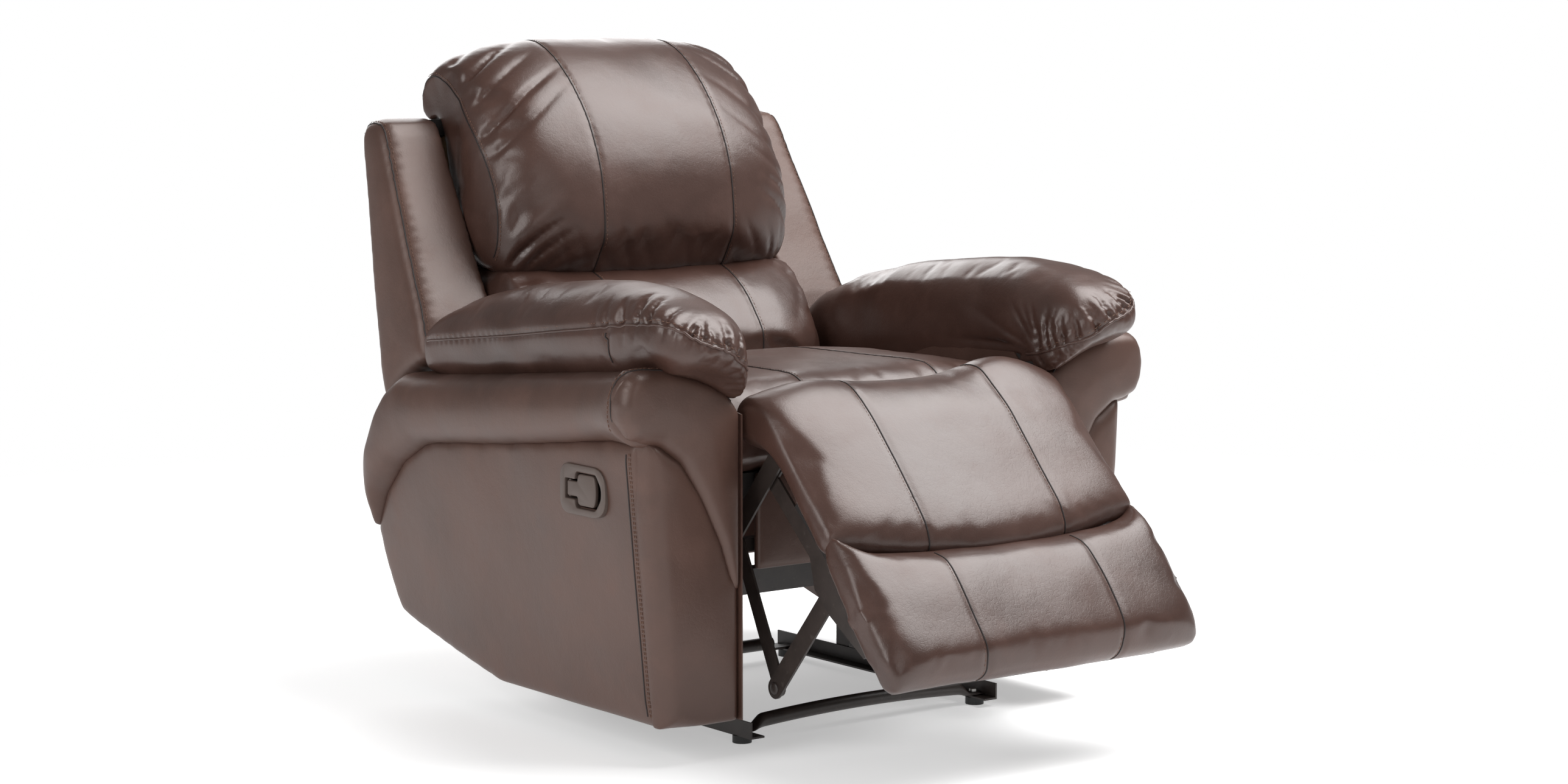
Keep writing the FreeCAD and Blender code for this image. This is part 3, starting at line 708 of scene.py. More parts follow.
def thread(name, color):
    """Twisted sewing thread. It also colours the painted seam shadow."""
    finish = Finish(name)
    twist = finish.cloud(1500.0, 1.0, 0.5)
    finish.set(Base_Color=finish.blend(twist, shaded(color, 0.7), shaded(color, 1.2)))
    finish.set(Roughness=0.55, Normal=finish.bump(twist, 0.4, 0.0004))
    return finish.material


def lining(name, color):
    """Black nonwoven cloth stapled over the boards."""
    finish = Finish(name)
    place = finish.place()
    fibres = finish.cloud(800.0, 3.0, 0.7, place)
    folds = finish.cloud(40.0, 3.0, 0.5, place)
    finish.set(Base_Color=finish.blend(fibres, shaded(color, 0.6), shaded(color, 1.6)))
    under = finish.bump(folds, 0.2, 0.002)
    finish.set(Roughness=0.92, Normal=finish.bump(fibres, 0.3, 0.0005, under))
    return finish.material


MATERIALS = {}
LINED = (
    "calf_board", "foot_board", "seat_front_rail", "seat_side_rail", "seat_rear_rail",
    "arm_inner_board", "arm_front_board", "back_bottom_rail", "back_top_rail",
)


def dress(piece, material):
    piece.data.materials.clear()
    piece.data.materials.append(MATERIALS[material])
    return piece


def hand_over(piece, body, material, *nodes, fill=None):
    """Gives a finished piece its material and body, and hides the CAD pieces that it stands for."""
    dress(piece, material)
    if body is not None:
        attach(piece, body)
    if nodes:
        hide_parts(*nodes)
    return piece


def both_sides(piece, body, material, node=None, fill=None, change=None):
    """Mirrors a left piece, changes the right one where asked, and hands both over."""
    twin = mirror_copy(piece, piece.name.replace("left", "right"))
    if change:
        change(twin)
    for part, side in ((piece, "left"), (twin, "right")):
        nodes = [f"{node}_{side}"] if node else []
        hand_over(part, body, material, *nodes, fill=fill)


# ---- settings --------------------------------------------------------------
def paint(name, description, default):
    return bpy.props.FloatVectorProperty(
        name=name, description=description, subtype="COLOR", size=3, default=default, min=0, max=1,
    )


def measure(name, description, default, low, high, unit="LENGTH"):
    return bpy.props.FloatProperty(
        name=name, description=description, default=default, min=low, max=high, unit=unit,
    )


class ChairColors(bpy.types.PropertyGroup):
    """Finishes that a user may change."""

    leather: paint("Leather", "Colour of the seat leather", (0.058, 0.028, 0.021))
    side: paint("Side leather", "Colour of the leather on the arms and wings",
                (0.078, 0.040, 0.030))
    steel: paint("Steel paint", "Paint of the mechanism and base", (0.030, 0.022, 0.019))
    plastic: paint("Handle", "Plastic of the release handle", (0.085, 0.060, 0.050))


class ChairSizes(bpy.types.PropertyGroup):
    """Sizes of the soft forms that a user may change."""

    voxel: measure("Cushion mesh", "Face size of the cushions before subdivision", 0.0070,
                   0.003, 0.02)
    panel: measure("Panel mesh", "Face size of the padded panels", 0.009, 0.003, 0.02)
    pressure: measure("Filling", "Pressure that fills the cushions", 4.0, 0, 12, "NONE")
    seam: measure("Seam depth", "How deep the seams sink", 0.0030, 0, 0.02)


def sizes():
    return bpy.context.scene.chair_sizes


# ---- head cushion ----------------------------------------------------------
HEAD_CENTRE = side_line(
    (640, 672), (622, 728), (623, 790), (636, 864), (674, 940), (732, 1006), (802, 1054),
    (868, 1067), (924, 1038), (944, 972), (925, 930), (884, 925), (852, 800), (822, 705),
    (750, 668), (685, 656),
)
HEAD_EDGE = side_line(
    (710, 702), (690, 735), (690, 790), (714, 852), (755, 909), (804, 956), (856, 992),
    (895, 1004), (930, 988), (941, 950), (925, 930), (886, 925), (852, 800), (824, 710),
    (770, 696), (732, 694),
)


class CHAIR_OT_head_cushion(bpy.types.Operator):
    """Makes the head cushion: crowned, with two lengthwise seams and gathers down its sides"""

    bl_idname = "chair.head_cushion"
    bl_label = "Head cushion"

    def execute(self, context):
        half = PAD_HALF - 0.004
        place = cushion_place(HEAD_CENTRE, HEAD_EDGE, half, 2.8, 0.5)
        piece = stuffed("head_cushion_cover", place, (96, 48), 0.012)

        def gathers(co, normal):
            inset = half - abs(co.x)
            front = clamp((-normal.y * 0.8 + normal.z * 0.6) * 2.0)
            corner = clamp(abs(co.z - 0.84) / 0.14)
            lean = 0.30 + 0.35 * corner
            run = co.z * 0.85 + co.y * 0.62 - inset * lean
            side = 5.0 if co.x > 0 else 11.0
            reach = 0.10 + 0.07 * corner + 0.03 * noise.noise(Vector((run * 8, side, 2.0)))
            fade = clamp(1 - inset / reach) ** 1.2 * ease((inset - 0.002) / 0.020) * front
            fade *= 0.55 + 0.45 * corner
            depth = -0.023 * fade * fold(run * 0.72, 0.0, side)
            low = ease((0.80 - co.z) / 0.10)
            pull = -0.004 * low * fold(co.x, (co.z - 0.66) * 2.0, 7.0) * clamp(-normal.y * 2)
            return depth + pull + 0.0022 * dents(co, 0.09, 2.0)

        push_out(piece, gathers)
        seams = quilt(piece, place, half, 0.0, 0.56, 120)
        sides = [
            nearest(piece, [place(0.02 + 0.54 * i / 110, v) for i in range(111)])
            for v in (0.0, 1.0)
        ]
        round_off(piece)
        hand_over(piece, "back", "seat_leather", "head_cushion", fill=0.8)
        sew(piece, "head_cushion", seams, "back")
        sew(piece, "head_cushion_side", sides, "back", (0.006,))
        return {"FINISHED"}


# ---- lumbar cushion --------------------------------------------------------
LUMBAR_CENTRE = side_line(
    (526, 487), (512, 508), (521, 546), (551, 592), (594, 638), (648, 670), (720, 686),
    (800, 684), (790, 600), (760, 502), (680, 487), (590, 480),
)
LUMBAR_EDGE = side_line(
    (575, 494), (566, 514), (572, 548), (592, 597), (626, 648), (672, 684), (730, 690),
    (800, 686), (790, 600), (760, 504), (690, 492), (620, 486),
)


class CHAIR_OT_lumbar_cushion(bpy.types.Operator):
    """Makes the lumbar cushion under the head cushion"""

    bl_idname = "chair.lumbar_cushion"
    bl_label = "Lumbar cushion"

    def execute(self, context):
        half = PAD_HALF - 0.010
        place = cushion_place(LUMBAR_CENTRE, LUMBAR_EDGE, half, 3.2, 0.5)

        def gathers(co, normal):
            inset = half - abs(co.x)
            fade = max(0.0, 1 - inset / 0.10) ** 1.6 * clamp(-normal.y * 2)
            run = co.z * 0.8 - co.y * 0.6
            return -0.008 * fade * fold(run, inset * 2, 3.0) + 0.0025 * dents(co, 0.08, 5.0)

        plain_cushion("lumbar_cushion", "back", place, half, (72, 44), 0.012, gathers,
                      (0.02, 0.5, 60))
        return {"FINISHED"}


# ---- seat ------------------------------------------------------------------
SEAT_LOOP = side_line(
    (52, 432), (50, 480), (54, 526), (85, 550), (200, 554), (350, 552), (470, 546), (510, 515),
    (545, 478), (560, 450), (540, 427), (300, 426),
)
SEAT_EDGE = side_line(
    (52, 432), (51, 470), (58, 505), (90, 530), (200, 536), (350, 534), (460, 530), (506, 505),
    (545, 472), (560, 450), (540, 427), (300, 426),
)


class CHAIR_OT_seat_cushion(bpy.types.Operator):
    """Makes the seat cushion between the arms"""

    bl_idname = "chair.seat_cushion"
    bl_label = "Seat cushion"

    def execute(self, context):
        half = ARM_INNER - 0.006
        place = cushion_place(SEAT_LOOP, SEAT_EDGE, half, 2.4, 0.6)

        def settle_in(co, normal):
            inset = half - abs(co.x)
            fade = max(0.0, 1 - inset / 0.09) ** 1.5 * clamp(normal.z)
            return -0.005 * fade * fold(co.y, inset * 2, 4.0) + 0.003 * dents(co, 0.11, 1.0)

        plain_cushion("seat_cushion", "base", place, half, (72, 44), 0.010, settle_in,
                      (0.17, 0.58, 70))
        return {"FINISHED"}


# ---- calf cushion ----------------------------------------------------------
CALF_CENTRE = side_line(
    (50, 505), (44, 538), (18, 556), (-28, 549), (-74, 520), (-120, 472), (-168, 417),
    (-214, 364), (-240, 328), (-228, 306), (-186, 302), (-150, 335), (-98, 385), (-58, 415),
    (-10, 440), (36, 470),
)
CALF_EDGE = side_line(
    (48, 500), (42, 526), (18, 541), (-20, 533), (-56, 504), (-96, 460), (-136, 418), (-170, 386),
    (-192, 368), (-198, 347), (-176, 334), (-140, 370), (-98, 416), (-56, 456), (-10, 478),
    (36, 484),
)


class CHAIR_OT_calf_cushion(bpy.types.Operator):
    """Makes the pad that carries on from the seat over the knee edge to the footrest"""

    bl_idname = "chair.calf_cushion"
    bl_label = "Calf cushion"

    def execute(self, context):
        half = PAD_HALF

        def place(u, v):
            share = 2 * v - 1
            lower_end = ease(1 - abs(u - 0.54) / 0.15)
            under = max(lower_end, ease(1 - abs(u - 0.78) / 0.22))
            side = 1 - abs(share) ** 3.2 if abs(share) < 1 else 0.0
            full = side**0.5 * (1 - under) + (1 - share**2) * under
            flat = spline(CALF_EDGE, u).lerp(spline(CALF_CENTRE, u), full)
            away = flat.x - ARM_FRONT
            wide = half + 0.006 * ease((-0.02 - away) / 0.08)
            high = 0.023 if share > 0 else 0.009
            bolster = high * math.exp(-(((abs(share) - 0.62) / 0.30) ** 2))
            bolster *= ease((flat.y - 0.48) / 0.05) * ease((away + 0.07) / 0.08)
            return Vector((share * wide, flat.x, flat.y + bolster))

        piece = stuffed("calf_cushion_cover", place, (96, 56), 0.008)

        def gathers(co, normal):
            inset = half + 0.004 - abs(co.x)
            run = co.z * 0.7 - co.y * 0.7
            fade = clamp(1 - inset / 0.060) ** 1.5 * clamp(normal.z * 1.5)
            deep = -0.0055 * fade * fold(run, inset * 2, 3.0 if co.x > 0 else 6.0)
            corner = ease((0.43 - co.z) / 0.08) * clamp(1 - inset / 0.15) * clamp(normal.z * 1.5)
            way = abs(co.x) * 0.8 + co.z * 0.6
            return deep - 0.005 * corner * fold(way * 0.6, 0, 2.0) + 0.0018 * dents(co, 0.10, 9.0)

        push_out(piece, gathers)
        seams = quilt(piece, place, half, 0.06, 0.54, 110, (-0.130, 0.130))
        round_off(piece)
        sew(piece, "calf_cushion", seams, None, bend=bend_at_knee)
        hand_over(piece, None, "seat_leather")
        bend_at_knee(piece)
        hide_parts("calf_cushion", "seat_front_roll")
        return {"FINISHED"}


def bend_at_knee(part):
    """Puts a piece's world place into its mesh."""
    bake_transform(part)


# ---- foot cushion ----------------------------------------------------------
FOOT_CENTRE = side_line(
    (-218, 336), (-250, 322), (-286, 288), (-322, 243), (-352, 200), (-361, 172), (-348, 151),
    (-318, 141), (-284, 164), (-235, 230), (-196, 285), (-192, 316),
)
FOOT_EDGE = side_line(
    (-176, 369), (-208, 356), (-256, 301), (-300, 246), (-330, 206), (-348, 178), (-346, 156),
    (-322, 150), (-290, 184), (-244, 246), (-200, 304), (-172, 346),
)


class CHAIR_OT_foot_cushion(bpy.types.Operator):
    """Makes the foot cushion under the calf cushion"""

    bl_idname = "chair.foot_cushion"
    bl_label = "Foot cushion"

    def execute(self, context):
        half = PAD_HALF + 0.006

        def place(u, v):
            share = 2 * v - 1
            under = ease(1 - abs(u - 0.75) / 0.24)
            side = max(0.0, 1 - abs(share) ** 3.6)
            full = side**0.5 * (1 - under) + (1 - share**2) * under
            flat = spline(FOOT_EDGE, u).lerp(spline(FOOT_CENTRE, u), full)
            down = clamp((0.345 - flat.y) / 0.18)
            wide = half + 0.012 * math.sin(math.pi * down) - 0.002
            return Vector((share * wide, flat.x, flat.y))

        plain_cushion("foot_cushion", "footrest", place, half, (64, 48), 0.010,
                      lambda co, normal: 0.0018 * dents(co, 0.09, 4.0), (0.05, 0.55, 70),
                      (-0.131, 0.134))
        return {"FINISHED"}


# ---- padded panels ---------------------------------------------------------
def padded_panel(name, loop, low, high, axis, radius, crown, reach, base=None, voxel=None):
    """A closed padded panel: its outer face is base plus a crown, and falls off round its edge.
    The outer face is on the side of high. radius may be a rule that takes the flat point."""
    piece = slab(name, loop, low, high, axis)
    even_out(piece, voxel or sizes().panel)
    out = 1 if high > low else -1
    u, w = (1, 2) if axis == 0 else (0, 2)
    for vertex in piece.data.vertices:
        co = vertex.co
        depth = (co[axis] - low) / (high - low)
        flat = Vector((co[u], co[w]))
        gap = edge_distance(flat, loop)
        top = base(flat) if base else high
        bend = radius(flat) if callable(radius) else radius
        fall = bend * (1 - math.sqrt(max(0.0, 1 - (1 - clamp(gap / bend)) ** 2)))
        rise = crown * (1 - math.exp(-gap / reach))
        co[axis] = low + depth * (top - low + out * (rise - fall))
    relax(piece, 2)
    return piece


SIDE_LOOP = side_line(
    (30, 57), (474, 57), (600, 86), (722, 117), (760, 130), (772, 150), (796, 210), (812, 268),
    (774, 332), (704, 394), (628, 430), (590, 437), (400, 455), (200, 477), (100, 488), (30, 489),
)
ROLL_LOOP = side_line(
    (15, 478), (100, 477), (200, 466), (400, 444), (590, 426), (625, 420), (700, 385), (768, 325),
    (804, 264), (823, 262), (822, 330), (804, 408), (768, 472), (735, 508), (690, 534),
    (640, 534), (400, 556), (200, 576), (15, 594),
)


def arm_slope(flat):
    """Outer face of the arm's lower panel: it leans out as it rises."""
    return 0.438 + 0.037 * clamp((flat.y - 0.057) / 0.383, 0, 1.05)


class CHAIR_OT_arm_panels(bpy.types.Operator):
    """Makes the padded outer panels and shoulder rolls of both arms"""

    bl_idname = "chair.arm_panels"
    bl_label = "Arm panels"

    def execute(self, context):
        side = padded_panel("arm_side_cover_left", SIDE_LOOP, 0.424, 0.470, 0, 0.012, 0.006, 0.05,
                            arm_slope)
        push_out(side, lambda co, normal: 0.0016 * dents(co, 0.12, 6.0) * clamp(normal.x))

        def roll_face(flat):
            ahead = ease((ARM_FRONT + 0.16 - flat.x) / 0.14)
            joined = 0.026 * math.exp(-max(flat.x - ARM_FRONT - 0.015, 0.0) / 0.022)
            return 0.482 + 0.006 * ahead + joined - 0.020 * ease((0.40 - flat.y) / 0.14)

        def roll_edge(flat):
            ahead = ease((ARM_FRONT + 0.34 - flat.x) / 0.28)
            return 0.024 + 0.016 * ahead * ease((0.545 - flat.y) / 0.04)

        roll = padded_panel("arm_roll_cover_left", ROLL_LOOP, 0.321, 0.478, 0, roll_edge, 0.026,
                            0.022, roll_face)
        push_out(roll, lambda co, normal: 0.002 * dents(co, 0.10, 2.5) * clamp(normal.x))
        for piece, node, change in (
            (side, "arm_side_panel", cut_pocket), (roll, "arm_shoulder_roll", None),
        ):
            round_off(piece)
            both_sides(piece, "base", "side_leather", node, 0.9, change)
        return {"FINISHED"}


def cut_pocket(panel):
    """Opens the panel behind the release handle."""
    low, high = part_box("handle_bezel")
    middle = (low + high) / 2
    deselect()
    bpy.ops.mesh.primitive_cube_add(size=1, location=middle)
    cutter = bpy.context.object
    grow = 0.024
    cutter.dimensions = (0.12, high.y - low.y - grow, high.z - low.z - grow)
    settle(cutter)
    finish_with(cutter, "BEVEL", width=0.012, segments=4)
    cut_out(panel, cutter)


SCROLL_TOP = [
    (0.305, 0.523), (0.316, 0.539), (0.330, 0.553), (0.353, 0.568), (0.379, 0.580), (0.411, 0.590),
    (0.440, 0.5955), (0.470, 0.597), (0.490, 0.594),
]
SCROLL_LOOP = [Vector(point) for point in reversed(SCROLL_TOP)] + front_line(
    (305, 460), (305, 256), (318, 258), (342, 328), (379, 400), (412, 455), (450, 482),
    (474, 486), (499, 496), (511, 520), (514, 546), (510, 570), (501, 586),
)
FRONT_LOOP = front_line(
    (305, 280), (305, 57), (440, 57), (457, 240), (469, 380), (474, 498), (445, 492), (404, 462),
    (370, 404), (334, 330), (318, 280),
)


class CHAIR_OT_arm_fronts(bpy.types.Operator):
    """Makes the scroll and the lower panel on the front of each arm, and the arms' inner covers"""

    bl_idname = "chair.arm_fronts"
    bl_label = "Arm fronts"

    def execute(self, context):
        front = ARM_FRONT

        def scroll_edge(flat):
            return 0.009 + 0.008 * ease((flat.x - 0.32) / 0.06)

        def lower_edge(flat):
            return 0.009 + 0.019 * ease((flat.x - 0.36) / 0.07)

        scroll = padded_panel("arm_scroll_cover_left", SCROLL_LOOP, front + 0.047, front + 0.005,
                              1, scroll_edge, 0.010, 0.03, voxel=0.0055)
        lower = padded_panel("arm_front_cover_left", FRONT_LOOP, front + 0.046, front + 0.009, 1,
                             lower_edge, 0.005, 0.04, voxel=0.006)
        inner_loop = side_line(
            (4, 60), (474, 60), (735, 132), (790, 225), (811, 330), (770, 452), (690, 530),
            (640, 556), (90, 568), (50, 528), (4, 520),
        )
        inner = slab("arm_inner_cover_left", inner_loop, 0.3059, 0.3035)
        for piece, node in ((scroll, "arm_front_scroll"), (lower, None), (inner, None)):
            if piece is inner:
                shade(piece, 30)
            else:
                round_off(piece)
            both_sides(piece, "base", "side_leather", node, 0.9)
        self.trims(scroll, front)
        return {"FINISHED"}

    def trims(self, scroll, front):
        """Piping round the scroll's front edge, and the upright seams beside it."""
        rim = [
            (0.530, 0.044, 0.500), (0.532, 0.044, 0.530), (0.530, 0.043, 0.560),
            (0.522, 0.040, 0.586), (0.500, 0.030, 0.606), (0.472, 0.018, 0.608),
            (0.440, 0.011, 0.604), (0.411, 0.010, 0.598), (0.379, 0.010, 0.588),
            (0.353, 0.010, 0.576), (0.330, 0.010, 0.561), (0.314, 0.010, 0.546),
        ]
        rim = [Vector((x, front + y, z)) for x, y, z in rim]
        path = nearest(scroll, smooth(rim, 161))
        sew(scroll, "arm_scroll_left", [path], "base", (0.0060,), twin=True)
        side = bpy.data.objects["arm_side_cover_left"]
        line = [Vector((0.49, front + 0.053, 0.47 - 0.405 * i / 90)) for i in range(91)]
        sew(side, "arm_side_left", [nearest(side, line)], "base", (0.006, 0.0095), twin=True)
        roll = bpy.data.objects["arm_roll_cover_left"]
        line = [Vector((0.53, front + 0.052, 0.590 - 0.104 * i / 30)) for i in range(31)]
        rows = stitch_rows("arm_roll_stitches_left", [nearest(roll, line)], (0.0,))
        both_sides(rows, "base", "thread")


# ---- arm pillow ------------------------------------------------------------
PILLOW_REAR = 0.664
PILLOW_LENGTH = 0.728
PILLOW_TOP = [
    (-0.066, 0.636), (-0.052, 0.664), (-0.014, 0.684), (0.030, 0.695), (0.090, 0.702),
    (0.160, 0.703), (0.270, 0.697), (0.443, 0.678), (0.563, 0.650), (0.635, 0.624), (0.664, 0.604),
]
PILLOW_SEAM = [
    (-0.074, 0.662), (0.030, 0.662), (0.100, 0.656), (0.154, 0.647), (0.245, 0.635),
    (0.400, 0.615), (0.662, 0.587),
]


class CHAIR_OT_arm_pillows(bpy.types.Operator):
    """Makes the stuffed pillow on each arm. It is boxed outside, hangs down to the seat inside and
    is gathered round its nose"""

    bl_idname = "chair.arm_pillows"
    bl_label = "Arm pillows"

    def execute(self, context):
        inner, outer = ARM_INNER - 0.0025, 0.465
        middle = (inner + outer) / 2
        half = (outer - inner) / 2

        def place(u, v):
            y = PILLOW_REAR - PILLOW_LENGTH * v
            nose = clamp((0.040 - y) / 0.104)
            tail = clamp((y - 0.615) / 0.049)
            shrink = math.sqrt(max(0.0, 1 - nose**2.6))
            wide = half * (0.30 + 0.70 * shrink) * (1 - 0.10 * tail**2)
            angle = 2 * math.pi * u
            c, s = math.cos(angle), math.sin(angle)
            power = 0.40 if s < 0 else 0.62 if c > 0 else 0.86
            side = math.copysign(abs(c) ** power, c)
            x = middle + 0.010 * (1 - shrink) + wide * side
            share = (side + 1) / 2
            ahead = ease((0.10 - y) / 0.10)
            low_out = 0.586 - 0.085 * y
            low_in = 0.549 - 0.10 * max(y, 0.0)
            low = low_in + (low_out - low_in) * ease(share / 0.55)
            low += (read_off(SCROLL_TOP, x) - 0.002 - low) * ahead
            seam_in = low_in + 0.014
            seam = seam_in + (read_off(PILLOW_SEAM, y) - seam_in) * share**0.7
            crest = read_off(PILLOW_TOP, y) + 0.004 - 0.012 * ahead * (1 - share)
            if s >= 0:
                z = seam + (crest - seam) * abs(s) ** 0.85
            else:
                z = seam - (seam - low) * abs(s) ** 0.42
            tip = 0.630
            z = tip + (z - tip) * (0.22 + 0.78 * shrink)
            return Vector((x, y + ARM_FRONT, z))

        piece = rolled("arm_pillow_cover_left", 72, 96, place)
        even_out(piece, 0.0052)
        relax(piece, 4)
        swell(piece, sizes().pressure, 0.005)
        line = [
            (0.472, 0.650), (0.472, 0.400), (0.474, 0.245), (0.474, 0.154), (0.474, 0.090),
            (0.474, 0.030), (0.464, -0.020), (0.440, -0.060), (0.405, -0.078), (0.370, -0.070),
            (0.338, -0.040), (0.314, -0.008), (0.300, 0.020), (0.298, 0.060),
        ]
        heights = [
            0.588, 0.615, 0.635, 0.647, 0.657, 0.662, 0.662, 0.655, 0.638, 0.618, 0.598, 0.583,
            0.573, 0.565,
        ]
        marks = [
            Vector((x, y + ARM_FRONT, z)) for (x, y), z in zip(line, heights)
        ]
        seam = nearest(piece, smooth(marks, 221))
        tree = finder(seam)

        def gathers(co, normal):
            point, index, gap = tree.find(co)
            y = co.y - ARM_FRONT
            run = index / 220 * 1.02
            ahead = ease((0.19 - y) / 0.10)
            above = (co - point).dot(Vector((0, -0.25, 1))) > 0
            bite = ease(gap / 0.007)
            if above:
                reach = 0.060 + 0.026 * noise.noise(Vector((run * 12, 1.0, 4.0)))
                fade = clamp(1 - gap / reach) ** 1.3 * bite
                deep = -0.024 * ahead * fade * fold(run * 0.90, gap * 0.6, 8.0)
            else:
                fade = clamp(1 - gap / 0.040) ** 1.4 * bite
                deep = -0.008 * ahead * fade * fold(run * 0.95 + 0.02, gap, 8.0)
            inside = clamp(-normal.x) * ease((0.30 - y) / 0.2) * ease((0.66 - co.z) / 0.06)
            radiate = math.atan2(co.z - 0.566, y - 0.02)
            deep -= 0.009 * inside * fold(radiate * 0.16, gap, 5.0) * ease(gap / 0.02)
            rear = ease((y - 0.50) / 0.12)
            deep -= 0.005 * rear * fold(co.x * 1.1, y, 6.0) * clamp(normal.z)
            return deep + 0.0026 * dents(co, 0.075, 3.0)

        push_out(piece, gathers)
        press_along(piece, seam, 0.0055, 0.0030)
        band = [Vector((0.480, 0.118 + ARM_FRONT, 0.584 + 0.060 * i / 20)) for i in range(21)]
        band = nearest(piece, band)
        press_along(piece, band, 0.005, 0.002)
        round_off(piece)
        both_sides(piece, "base", "seat_leather", "arm_pillow", 0.9)
        self.trims(piece, seam, band)
        return {"FINISHED"}

    def trims(self, piece, seam, band):
        cord = welt("arm_pillow_piping_left", [resettle(piece, seam)], 0.0021, 0.0002)
        both_sides(cord, "base", "seat_leather")
        sew(piece, "arm_pillow_left", [seam], "base", (0.0075,), twin=True)
        sew(piece, "arm_pillow_band_left", [band], "base", (0.004,), twin=True)


# ---- back covers -----------------------------------------------------------
LEAN = math.radians(16.4)
BACK_FOOT = (0.7597, 0.330)
REAR_PAD = 0.0125


def back_at(t, n):
    """A side-view point t up the back's lean and n in front of its rear face."""
    y = BACK_FOOT[0] + t * math.sin(LEAN) - n * math.cos(LEAN)
    z = BACK_FOOT[1] + t * math.cos(LEAN) + n * math.sin(LEAN)
    return at(y, z)


def round_recline(radius, degrees):
    angle = math.radians(degrees)
    return Vector((RECLINE.y + radius * math.cos(angle), RECLINE.z + radius * math.sin(angle)))


class CHAIR_OT_back_covers(bpy.types.Operator):
    """Makes the padded wings and the cover of the chair's rear"""

    bl_idname = "chair.back_covers"
    bl_label = "Wings and rear"

    def execute(self, context):
        low_edge = [round_recline(0.230, a) for a in (75, 68, 60, 52, 44, 35)]
        loop = low_edge + [
            back_at(0.200, 0), back_at(0.400, 0), back_at(0.560, 0),
            at(0.926, 0.905), at(0.915, 0.928), at(0.888, 0.936), at(0.862, 0.930),
            at(0.845, 0.912), at(0.816, 0.856), at(0.787, 0.800), at(0.738, 0.710),
            at(0.688, 0.620),
        ]

        def outer(flat):
            return 0.456 - 0.044 * clamp((flat.y - 0.45) / 0.47)

        wing = padded_panel("wing_cover_left", loop, 0.3025, 0.44, 0, 0.016, 0.006, 0.04, outer)
        push_out(wing, lambda co, normal: 0.0022 * dents(co, 0.12, 8.0))
        round_off(wing)
        edge_line = smooth(loop[9:] + loop[:1], 90)
        corner = [Vector((outer(p) - 0.001, p.x, p.y)) for p in edge_line]
        path = nearest(wing, corner)
        both_sides(wing, "back", "side_leather", "wing", 0.9)
        sew(wing, "wing_left", [path], "back", (0.006,), twin=True)
        self.rear()
        return {"FINISHED"}

    def rear(self):
        """The rear cover: a padded skin with two upright seams."""
        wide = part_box("back_rear_panel")[1].x
        flat_loop = rectangle(-wide, wide, -0.175, 0.612)
        panel = padded_panel("back_rear_cover", flat_loop, 0.0, -REAR_PAD, 1, 0.005, 0.006, 0.08,
                             voxel=0.009)
        foot = at(*BACK_FOOT)
        for vertex in panel.data.vertices:
            x, n, t = vertex.co
            depth = REAR_PAD + n
            vertex.co = (
                x,
                foot.x + t * math.sin(LEAN) - depth * math.cos(LEAN),
                foot.y + t * math.cos(LEAN) + depth * math.sin(LEAN),
            )
        edit(panel)
        bpy.ops.mesh.normals_make_consistent(inside=False)
        leave_edit()
        seams = []
        for x in (-0.15, 0.15):
            ends = (back_at(-0.17, -0.03), back_at(0.605, -0.03))
            line = [ends[0].lerp(ends[1], i / 80) for i in range(81)]
            seams.append(nearest(panel, [Vector((x, p.x, p.y)) for p in line]))
        for path in seams:
            press_along(panel, path, 0.007, 0.0025)
        round_off(panel)
        hand_over(panel, "back", "side_leather", "back_rear_panel", fill=0.9)
        sew(panel, "back_rear", seams, "back")


# ---- front panel -----------------------------------------------------------
class CHAIR_OT_front_panel(bpy.types.Operator):
    """Makes the cover of the board under the seat's front edge"""

    bl_idname = "chair.front_panel"
    bl_label = "Front panel"

    def execute(self, context):
        low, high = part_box("seat_front_panel")
        slot = 0.2365
        edge = 0.2705
        spans = [(-slot, slot), (edge, high.x), (-high.x, -edge)]
        covers = []
        for i, (x0, x1) in enumerate(spans):
            loop = rectangle(x0, x1, low.z - 0.004, high.z)
            covers.append(padded_panel(f"front_cover_{i}", loop, high.y - 0.001, low.y - 0.001, 1,
                                       0.004, 0.003, 0.04, voxel=0.006))
        piece = join(covers, "seat_front_cover")
        round_off(piece)
        hand_over(piece, "base", "side_leather", "seat_front_panel", fill=0.9)
        return {"FINISHED"}


# ---- release handle --------------------------------------------------------
def handle_loops():
    """Outlines of the bezel, of the pocket in it and of the paddle, as (Y, Z) points."""
    low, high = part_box("handle_bezel")
    paddle_low, paddle_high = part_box("release_paddle")
    mid = (low.z + high.z) / 2
    bezel = round_corners(
        rectangle(low.y, high.y, low.z, high.z), (0.034, 0.024, 0.024, 0.034),
    )
    front = paddle_low.y
    rear = front + 0.048
    stub = paddle_high.y - 0.001
    tall, thin = 0.024, 0.0115

    def tee(grow, reach):
        return round_corners(
            [
                Vector((front - reach * 0.4 + 0.004, mid - tall - grow)),
                Vector((rear + grow, mid - tall - grow)),
                Vector((rear + grow, mid - thin - grow)), Vector((stub + grow, mid - thin - grow)),
                Vector((stub + grow, mid + thin + grow)), Vector((rear + grow, mid + thin + grow)),
                Vector((rear + grow, mid + tall + grow)),
                Vector((front - reach * 0.4 + 0.004, mid + tall + grow)),
                Vector((front - reach, mid + tall * 0.35)),
                Vector((front - reach, mid - tall * 0.35)),
            ],
            (0.006, 0.009, 0.003, 0.003, 0.003, 0.003, 0.009, 0.006, 0.007, 0.007),
            4,
        )

    return bezel, tee(0.0036, 0.0180), tee(0.0, 0.0)


